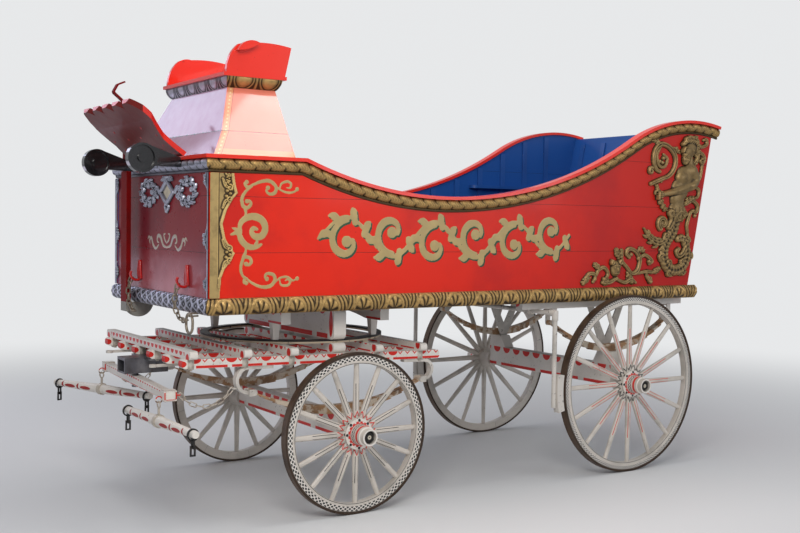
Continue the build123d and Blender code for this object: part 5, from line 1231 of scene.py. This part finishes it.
# Torso, with the grapes and bosses in the scrolls, then neck, arms, hand and belt
for u, v, radius_u, radius_v, depth in (
    (-2.745, 2.046, 0.064, 0.046, 0.036), (-2.705, 1.985, 0.098, 0.085, 0.040),
    (-2.655, 1.905, 0.083, 0.080, 0.038), (-2.628, 1.835, 0.070, 0.075, 0.036),
    (-2.630, 1.765, 0.078, 0.060, 0.036), (-2.655, 1.985, 0.052, 0.046, 0.044),
    (-2.478, 2.112, 0.015, 0.015, 0.028), (-2.440, 2.090, 0.015, 0.015, 0.028),
    (-2.468, 2.082, 0.015, 0.015, 0.028), (-2.866, 2.124, 0.014, 0.014, 0.030),
    (-2.806, 1.722, 0.014, 0.014, 0.026), (-2.457, 1.862, 0.030, 0.026, 0.046),
):
    figure.ball(u, v, radius_u, radius_v, depth)
figure.stroke(((-2.748, 2.080), (-2.742, 2.130)), (0.034, 0.028), 0.030)
figure.bend(((-2.765, 2.030), (-2.795, 1.975), (-2.760, 1.932)), (0.054, 0.046, 0.038), 0.046)
forearm = ((-2.760, 1.932), (-2.660, 1.905), (-2.560, 1.880), (-2.480, 1.866))
figure.bend(forearm, (0.038, 0.036, 0.024, 0.020), 0.046)
figure.bend(((-2.545, 1.640), (-2.575, 1.690), (-2.560, 1.740)), (0.024, 0.030), 0.034, 0.4)
for number in range(4):
    finger = np.array(((-2.452, 1.882), (-2.430, 1.878), (-2.424, 1.868))) - (0, number * 0.013)
    figure.bend(finger, (0.007, 0.006), 0.046, steps=5)

# Head: an egg three quarters turned, with features at the usual thirds
head = np.array((-2.722, 2.178))
for u, v, radius_u, radius_v, depth in (
    (-0.020, 0.012, 0.062, 0.062, 0.042), (0.016, -0.010, 0.044, 0.060, 0.040),
    (0.034, 0.006, 0.007, 0.004, 0.044), (-0.022, -0.002, 0.009, 0.015, 0.045),
):
    figure.ball(*head + (u, v), radius_u, radius_v, depth)
for ends, radii, depth in (
    (((0.050, 0.014), (0.062, -0.012)), (0.008, 0.011), 0.042),
    (((0.020, 0.018), (0.048, 0.020)), (0.006, 0.006), 0.045),
    (((0.034, -0.030), (0.054, -0.029)), (0.004, 0.005), 0.043),
    (((0.036, -0.038), (0.052, -0.037)), (0.004, 0.005), 0.042),
):
    figure.stroke(head + ends, radii, depth)
for number in range(4):
    beard = ((number * 0.014, -0.046), (0.010 + number * 0.012, -0.072), (0.024 + number * 0.006, -0.096))
    figure.bend(head + beard, (0.011, 0.011, 0.005), 0.040, 0.5, 6)
for number in range(6):
    turn = math.radians(60 + number * 26)
    hair = head + (-0.018 + 0.066 * math.cos(turn), 0.016 + 0.062 * math.sin(turn))
    figure.stroke(spiral(hair, 0.019, 40 * number, 1.0), (0.011, 0.007), 0.043, 0.4)
for number in range(3):
    lower = number * 0.018
    lock = ((-0.070, 0.020 - number * 0.022), (-0.090, -0.020 - lower), (-0.078, -0.056 - lower))
    figure.bend(head + lock, (0.013, 0.014, 0.008), 0.036, 0.5)
wreath = head + ((0.058, 0.040), (0.020, 0.062), (-0.050, 0.058), (-0.085, 0.030))
figure.bend(wreath, (0.014, 0.020, 0.016), 0.046, ribs=0.3, pitch=0.020)
figure.leaf(head + ((-0.060, 0.060), (-0.072, 0.085), (-0.070, 0.106)), 0.022, 0.036, 2)

# Leaves round a small mask, low at the rear of the side
leaves = Relief((-2.500, 1.238), (-1.730, 1.520), 0.0042)
for corners, radius in (
    (((-1.760, 1.262), (-1.813, 1.325), (-1.868, 1.318), (-1.850, 1.272)), 0.014),
    (((-1.876, 1.318), (-1.899, 1.352), (-1.950, 1.366), (-1.984, 1.324), (-1.940, 1.272)), 0.014),
    (((-1.934, 1.266), (-2.000, 1.268), (-2.064, 1.295)), 0.016),
    (((-2.101, 1.412), (-2.155, 1.368), (-2.204, 1.325), (-2.258, 1.346), (-2.276, 1.417), (-2.238, 1.472),
      (-2.176, 1.490), (-2.148, 1.460), (-2.176, 1.432)), 0.017),
    (((-2.260, 1.423), (-2.325, 1.448), (-2.392, 1.408), (-2.366, 1.386)), 0.015),
    (((-2.238, 1.322), (-2.348, 1.335), (-2.408, 1.330), (-2.462, 1.352)), 0.014),
    (((-2.339, 1.335), (-2.350, 1.296), (-2.380, 1.262)), 0.014),
    (((-2.064, 1.287), (-2.140, 1.264), (-2.197, 1.284), (-2.240, 1.262)), 0.015),
):
    leaves.scroll(corners, radius, 0.024)
for corners, size in (
    (((-1.820, 1.300), (-1.780, 1.284), (-1.752, 1.256)), 0.026),
    (((-1.900, 1.350), (-1.880, 1.378), (-1.850, 1.388)), 0.024),
    (((-2.075, 1.425), (-2.064, 1.462), (-2.050, 1.496)), 0.026),
    (((-2.110, 1.415), (-2.098, 1.456), (-2.110, 1.492)), 0.024),
    (((-2.250, 1.470), (-2.290, 1.486), (-2.320, 1.470)), 0.024),
    (((-2.350, 1.300), (-2.372, 1.280), (-2.388, 1.256)), 0.026),
    (((-2.400, 1.332), (-2.440, 1.340), (-2.478, 1.362)), 0.026),
    (((-2.190, 1.290), (-2.204, 1.270), (-2.200, 1.252)), 0.022),
    (((-1.984, 1.290), (-1.968, 1.268), (-1.940, 1.254)), 0.022),
    (((-2.160, 1.330), (-2.180, 1.300), (-2.220, 1.292)), 0.024),
):
    leaves.leaf(corners, size, 0.026, 3)
for u, v in ((-1.862, 1.290), (-1.944, 1.290), (-2.190, 1.452), (-2.362, 1.402), (-2.378, 1.262)):
    leaves.ball(u, v, 0.015, 0.015, 0.028)
mask = np.array((-2.052, 1.358))
leaves.ball(*mask, 0.044, 0.056, 0.034)
leaves.ball(*mask + (0, -0.004), 0.009, 0.020, 0.041)
leaves.stroke(mask + ((-0.014, -0.032), (0.014, -0.032)), (0.005, 0.005), 0.037)
for part in (1, -1):
    leaves.stroke(mask + ((part * 0.012, 0.020), (part * 0.032, 0.018)), (0.006, 0.005), 0.038)
    leaves.ball(*mask + (part * 0.021, 0.008), 0.008, 0.005, 0.037)
    leaves.stroke(spiral(mask + (part * 0.040, 0.040), 0.016, 90, part), (0.009, 0.007), 0.032)
piece("side_figure_carving", both_sides(figure, leaves), dark_gold, replaced="side_carvings")


# Hooks, chains and fixings

def unit(ways):
    return ways / np.linalg.norm(ways, axis=-1, keepdims=True)


def tube(path, radius, sides=8, closed=False):
    """A round bar along a path of points."""
    path = np.array(path, dtype=float)
    count = len(path)
    if closed:
        steps = np.roll(path, -1, 0) - np.roll(path, 1, 0)
        guide = np.cross(path[1] - path[0], path[count // 2] - path[0])
    else:
        steps = np.gradient(path, axis=0)
        guide = (0.0, 0.0, 1.0) if abs(unit(steps)[:, 2]).max() < 0.9 else (0.31, 0.95, 0.05)
    steps = unit(steps)
    first = unit(np.cross(steps, guide))
    second = np.cross(steps, first)
    turns = np.linspace(0, 2 * np.pi, sides, endpoint=False)[None, :, None]
    ring = first[:, None, :] * np.cos(turns) + second[:, None, :] * np.sin(turns)
    points = (path[:, None, :] + radius * ring).reshape(-1, 3)
    index = np.arange(count * sides).reshape(count, sides)
    start, following = (index, np.roll(index, -1, 0)) if closed else (index[:-1], index[1:])
    faces = np.stack([start, following, np.roll(following, -1, 1), np.roll(start, -1, 1)], -1)
    faces = faces.reshape(-1, 4).tolist()
    if not closed:
        faces += [index[0].tolist(), index[-1].tolist()[::-1]]
    return points, faces, np.full(len(points), 0.5)


def link(middle, along, across, length, width, wire):
    """One oval link about its middle."""
    turns = np.linspace(0, 2 * np.pi, 20, endpoint=False)
    straight = (length - width) / 2
    offsets = np.cos(turns) * (width / 2 - wire) + np.sign(np.cos(turns)) * straight
    asides = np.sin(turns) * (width / 2 - wire)
    path = middle + offsets[:, None] * along + asides[:, None] * across
    return tube(path, wire, 7, closed=True)


def hung_chain(corners, links):
    """Round links along a line through corners, each turned a quarter from the last."""
    wire = 0.0045
    line = curve(corners, 20)
    run = np.concatenate([[0], np.cumsum(np.linalg.norm(np.diff(line, axis=0), axis=1))])
    pitch = run[-1] / links
    places = np.stack([np.interp(pitch * np.arange(links + 1), run, line[:, axis]) for axis in range(3)], 1)
    parts = []
    for number, (start, end) in enumerate(zip(places[:-1], places[1:])):
        along = unit(end - start)
        flat = unit(np.cross(along, (1.0, 0.0, 0.0)))
        across = flat if number % 2 else np.cross(along, flat)
        parts.append(link((start + end) / 2, along, across, pitch + 3.2 * wire, 0.034, wire))
    return parts


hook_red = worn_paint("hook_enamel", srgb(190, 16, 14), DARK_RED, 0.5, 20.0, roughness=0.35, coat=0.5)
hook_red = hook_red.chips(GREY_WHITE, 0.5).done()
worn_iron = worn_paint(
    "worn_iron", srgb(150, 138, 122), srgb(70, 56, 46), 0.8, 40.0, 200.0,
    roughness=0.45, metallic=0.4).done()
stay_iron = worn_paint(
    "stay_iron", srgb(200, 190, 176), srgb(112, 90, 72), 0.8, 40.0, 180.0, 0.0005, 0.4,
    roughness=0.45, metallic=0.2).done()
strap_paint = worn_paint(
    "strap_enamel", srgb(200, 192, 180), srgb(140, 120, 100), 0.7, 30.0, 160.0, 0.0004, 0.4,
    roughness=0.5).done()

# Two hooks on the front, each a prong before a tapered plate
hook_tip = sill_bulge + 0.030
hook_parts = []
for hook_y in (-0.288, 0.440):
    for rods, radius, steps in (
        ([((0.006, 0, 1.285), (0.030, 0, 1.282), (hook_tip - 0.004, 0, 1.292), (hook_tip + 0.008, 0, 1.316),
           (hook_tip + 0.002, 0, 1.336))],
         0.0075, 6),
        ([((0.006, y, 1.290), (0.010, y * 0.8, 1.340), (0.008, y * 0.2, 1.400)) for y in (0.020, -0.020)],
         0.0085, 8),
        ([((0.005, 0, 1.284), (0.006, 0, 1.34), (0.005, 0, 1.392))], 0.011, 12),
    ):
        hook_parts += [tube(curve(rod, steps) + (front_x, hook_y, 0), radius) for rod in rods]
piece("front_hooks", hook_parts, hook_red, "front_chains")

# The chains that hang from them, and a large ring in a staple
chain_x = front_x + hook_tip
chain_parts = []
for corners, links in (
    (((0, 0.440, 1.300), (0.004, 0.400, 1.215), (0, 0.412, 1.150), (-0.004, 0.480, 1.108),
      (0, 0.560, 1.112)), 9),
    (((0, -0.288, 1.300), (0.006, -0.322, 1.240), (0.006, -0.330, 1.170), (0.002, -0.290, 1.116),
      (0, -0.240, 1.100)), 7),
):
    chain_parts += hung_chain(np.array((chain_x, 0, 0)) + corners, links)
ring_y = 0.602
ring_middle = np.array((chain_x, ring_y, 1.098))
chain_parts.append(link(ring_middle, np.array((0, 0, 1.0)), np.array((0, 1.0, 0)), 0.120, 0.104, 0.0075))
staple = [
    (chain_x + out, ring_y, z)
    for out, z in ((-0.050, 1.150), (-0.004, 1.150), (0.006, 1.143), (-0.004, 1.136), (-0.050, 1.137))
]
chain_parts.append(tube(curve(staple, 5), 0.005))
piece("front_chain_links", chain_parts, worn_iron)


def links_of(node):
    """The middle, long way, wide way, length, width and thickness of each link of a chain's node."""
    mesh = nodes[node].data
    places = np.empty(len(mesh.vertices) * 3)
    mesh.vertices.foreach_get("co", places)
    ends = np.empty(len(mesh.edges) * 2, dtype=np.int32)
    mesh.edges.foreach_get("vertices", ends)
    places, same = np.unique(places.reshape(-1, 3).round(5), axis=0, return_inverse=True)
    ends = same.ravel()[ends].reshape(-1, 2)
    owner = np.arange(len(places))
    before = None
    while before is None or (before != owner).any():
        before = owner.copy()
        for first, second in ((0, 1), (1, 0)):
            np.minimum.at(owner, ends[:, first], owner[ends[:, second]])
    found = []
    for number in np.unique(owner):
        cloud = places[owner == number]
        ways = np.linalg.svd(cloud - cloud.mean(axis=0), full_matrices=False)[2]
        spans = cloud @ ways.T
        middle = (spans.max(axis=0) + spans.min(axis=0)) / 2 @ ways
        found.append((middle, ways[0], ways[1], *np.ptp(spans, axis=0)))
    return found


# Stay chains: round links where the CAD's plates are, between the front gear and the evener
stay_links = sorted(links_of("stay_chains"), key=lambda entry: entry[0][0])
for side, sign in SIDES:
    own = [entry for entry in stay_links if entry[0][1] * sign > 0]
    links = [link(*entry[:5], entry[5] / 2) for entry in own]
    chain = piece(f"{side}_stay_chain", links, stay_iron, "stay_chains", None)
    tuple(own[0][0])
    tuple(own[-1][0])
    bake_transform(chain)


def block(low, high, rise=0.0):
    """A box between two corners, its level rising along x."""
    middle_x = (low[0] + high[0]) / 2
    points = np.array([
        (x, y, z + (x - middle_x) * rise)
        for x in (low[0], high[0]) for y in (low[1], high[1]) for z in (low[2], high[2])
    ])
    faces = [[0, 1, 3, 2], [4, 6, 7, 5], [0, 4, 5, 1], [2, 3, 7, 6], [0, 2, 6, 4], [1, 5, 7, 3]]
    return points, faces, np.full(8, 0.4)


# Straps that hold the cross bars down to the outer and inner long bars, with two nuts under each
strap_half = 0.017
nut_half = 0.008
strap_side = bar_half + 0.0035
strap_parts = []
for crossing in (0.925, 0.610, 0.325, -0.235, -0.545):
    for count in (-2.5, -0.5, 0.5, 2.5):
        x = crossing + axle_x
        y = count * bar_pitch
        z = bar_mid_z + crossing * bar_rise
        strap_low = (x - strap_half, y - strap_side, z - bar_half - 0.0045)
        strap_parts.append(block(strap_low, (x + strap_half, y + strap_side, z + bar_half), bar_rise))
        for nut in (y - 0.017, y + 0.017):
            nut_low = (x - nut_half, nut - nut_half, z - bar_half - 0.013)
            strap_parts.append(block(nut_low, (x + nut_half, nut + nut_half, z - bar_half - 0.004)))
piece("bar_straps", strap_parts, strap_paint, body="front_gear")


def bolt_head(point, facing, radius, height):
    """A round head on a point, facing a way."""
    facing = unit(np.array(facing, dtype=float))
    aside = unit(np.cross(facing, (0.3, 0.5, 0.81)))
    turns = np.linspace(0, 2 * np.pi, 10, endpoint=False)[:, None]
    circle = np.cos(turns) * aside + np.sin(turns) * np.cross(facing, aside)
    points = np.concatenate([
        point + facing * (height * share) + radius * math.sqrt(1 - share ** 2) * circle
        for share in (0.0, 0.35, 0.7, 0.92)
    ])
    index = np.arange(40).reshape(4, 10)
    turned = np.roll(index, -1, 1)
    faces = np.stack([index[:-1], turned[:-1], turned[1:], index[1:]], -1).reshape(-1, 4).tolist()
    return points, faces + [index[0].tolist()[::-1], index[-1].tolist()], np.full(40, 0.5)


# Bolts under the footboard, whose underside sags a little between its two edges
foot_low = (axle_x + 0.884, 1.993)
foot_high = (axle_x + 1.085, 2.176)
foot_facing = (0.67, 0, -0.74)
foot_bolts = []
for share, reach in (
    (0.10, 0.20), (0.10, 0.34), (0.35, 0.12), (0.35, 0.30), (0.62, 0.10), (0.62, 0.34), (0.85, 0.22),
):
    sag = 0.0066 * math.sin(math.pi * share)
    x, z = (low + (high - low) * share for low, high in zip(foot_low, foot_high))
    for part in (1, -1):
        place = (x + sag * foot_facing[0], part * reach, z + sag * foot_facing[2])
        foot_bolts.append(bolt_head(place, foot_facing, 0.009, 0.004))
piece("footboard_bolts", foot_bolts, hook_red)


# Camera and stage

def look(position, yaw, pitch, roll, focal_px):
    """A camera at position, turned by yaw from looking along -Y, then tilted and rolled, in degrees."""
    image_width = 800
    yaw, pitch, roll = (math.radians(a) for a in (yaw, pitch, roll))
    forward = Vector((
        -math.sin(yaw) * math.cos(pitch),
        -math.cos(yaw) * math.cos(pitch),
        math.sin(pitch),
    ))
    level = forward.cross(Vector((0, 0, 1))).normalized()
    upright = level.cross(forward)
    right = level * math.cos(roll) + upright * math.sin(roll)
    up = -level * math.sin(roll) + upright * math.cos(roll)
    data = bpy.data.cameras.new("camera")
    data.lens = focal_px / image_width * data.sensor_width
    camera = bpy.data.objects.new("camera", data)
    camera.matrix_world = Matrix((
        (right.x, up.x, -forward.x, position[0]),
        (right.y, up.y, -forward.y, position[1]),
        (right.z, up.z, -forward.z, position[2]),
        (0, 0, 0, 1),
    ))
    bpy.context.scene.collection.objects.link(camera)
    bpy.context.scene.camera = camera


look((3.1851 + axle_x, 6.0634, 1.6625), yaw=33.333, pitch=-2.425, roll=0.828, focal_px=1097.85)

for name, place, target, size, power, colour in (
    ("key", (3.4, 4.6, 4.2), (0.4, 0.4, 1.2), (2.4, 1.8), 150, (1.0, 0.97, 0.92)),
    ("fill", (-3.5, 6.0, 3.0), (-0.6, 0, 1.2), (3.0, 2.4), 55, (0.92, 0.95, 1.0)),
    ("overhead", (0.0, 0.0, 5.6), (0.0, 0.0, 1.0), (5.0, 3.0), 110, (1.0, 0.98, 0.95)),
    ("window", (3.7, -4.6, 0.75), (0.6, 0, 1.3), (2.4, 1.0), 9, (0.86, 0.80, 1.0)),
    ("high_window", (3.2, -4.6, 4.15), (0.9, 0, 2.2), (1.8, 1.6), 26, (0.74, 0.76, 1.0)),
    ("skylight", (-0.05, 1.5, 5.0), (1.4, 0.5, 2.2), (0.8, 0.55), 11, (1.0, 0.98, 0.96)),
    ("arm_skylight", (-0.3, 2.45, 4.9), (1.2, -0.4, 2.6), (0.8, 0.6), 10, (1.0, 0.98, 0.96)),
):
    data = bpy.data.lights.new(name, "AREA")
    data.shape = "RECTANGLE"
    data.size, data.size_y = size
    data.energy = power
    data.color = colour
    lamp = bpy.data.objects.new(name, data)
    lamp.location = place
    lamp.rotation_euler = (Vector(target) - Vector(place)).to_track_quat("-Z", "Y").to_euler()
    bpy.context.scene.collection.objects.link(lamp)

BACKDROP = (0.80, 0.81, 0.82, 1)


def mixed(tree, share, first, second, output):
    """Show the second shader instead of the first where share is 1."""
    mix = tree.nodes.new("ShaderNodeMixShader")
    feed(tree, mix.inputs[0], share)
    tree.links.new(first.outputs[0], mix.inputs[1])
    tree.links.new(second.outputs[0], mix.inputs[2])
    tree.links.new(mix.outputs[0], tree.nodes[output].inputs["Surface"])


# The world lights the wagon plainly, and shows the camera and reflections a pale backdrop
world = bpy.data.worlds.new("room")
bpy.context.scene.world = world
world.use_nodes = True
tree = world.node_tree
lit = tree.nodes["Background"]
lit.inputs["Color"].default_value = (0.9, 0.93, 1.0, 1)
lit.inputs["Strength"].default_value = 0.34
seen = tree.nodes.new("ShaderNodeBackground")
seen.inputs["Color"].default_value = BACKDROP
rays = tree.nodes.new("ShaderNodeLightPath").outputs
direct = Flow(tree, rays["Is Camera Ray"]).math("MAXIMUM", Flow(tree, rays["Is Transmission Ray"]))
mixed(tree, direct.math("MAXIMUM", Flow(tree, rays["Is Glossy Ray"]) * 0.35), lit, seen, "World Output")

# The floor fades into the backdrop away from the wagon
bpy.ops.mesh.primitive_plane_add(size=60)
floor = bpy.context.object
floor.name = "studio_floor"
floor_material = bpy.data.materials.new("studio_floor")
floor_material.use_nodes = True
tree = floor_material.node_tree
near_floor = tree.nodes["Principled BSDF"]
near_floor.inputs["Base Color"].default_value = (0.74, 0.75, 0.76, 1)
near_floor.inputs["Roughness"].default_value = 0.7
far_floor = tree.nodes.new("ShaderNodeEmission")
far_floor.inputs["Color"].default_value = BACKDROP
distance = tree.nodes.new("ShaderNodeVectorMath")
distance.operation = "LENGTH"
tree.links.new(tree.nodes.new("ShaderNodeNewGeometry").outputs["Position"], distance.inputs[0])
by_camera = Flow(tree, tree.nodes.new("ShaderNodeLightPath").outputs["Is Camera Ray"])
fade = Flow(tree, distance.outputs["Value"]).rise(2.6, 9.0) * by_camera
mixed(tree, fade, near_floor, far_floor, "Material Output")
floor.data.materials.append(floor_material)

bpy.context.scene.view_settings.view_transform = "Standard"
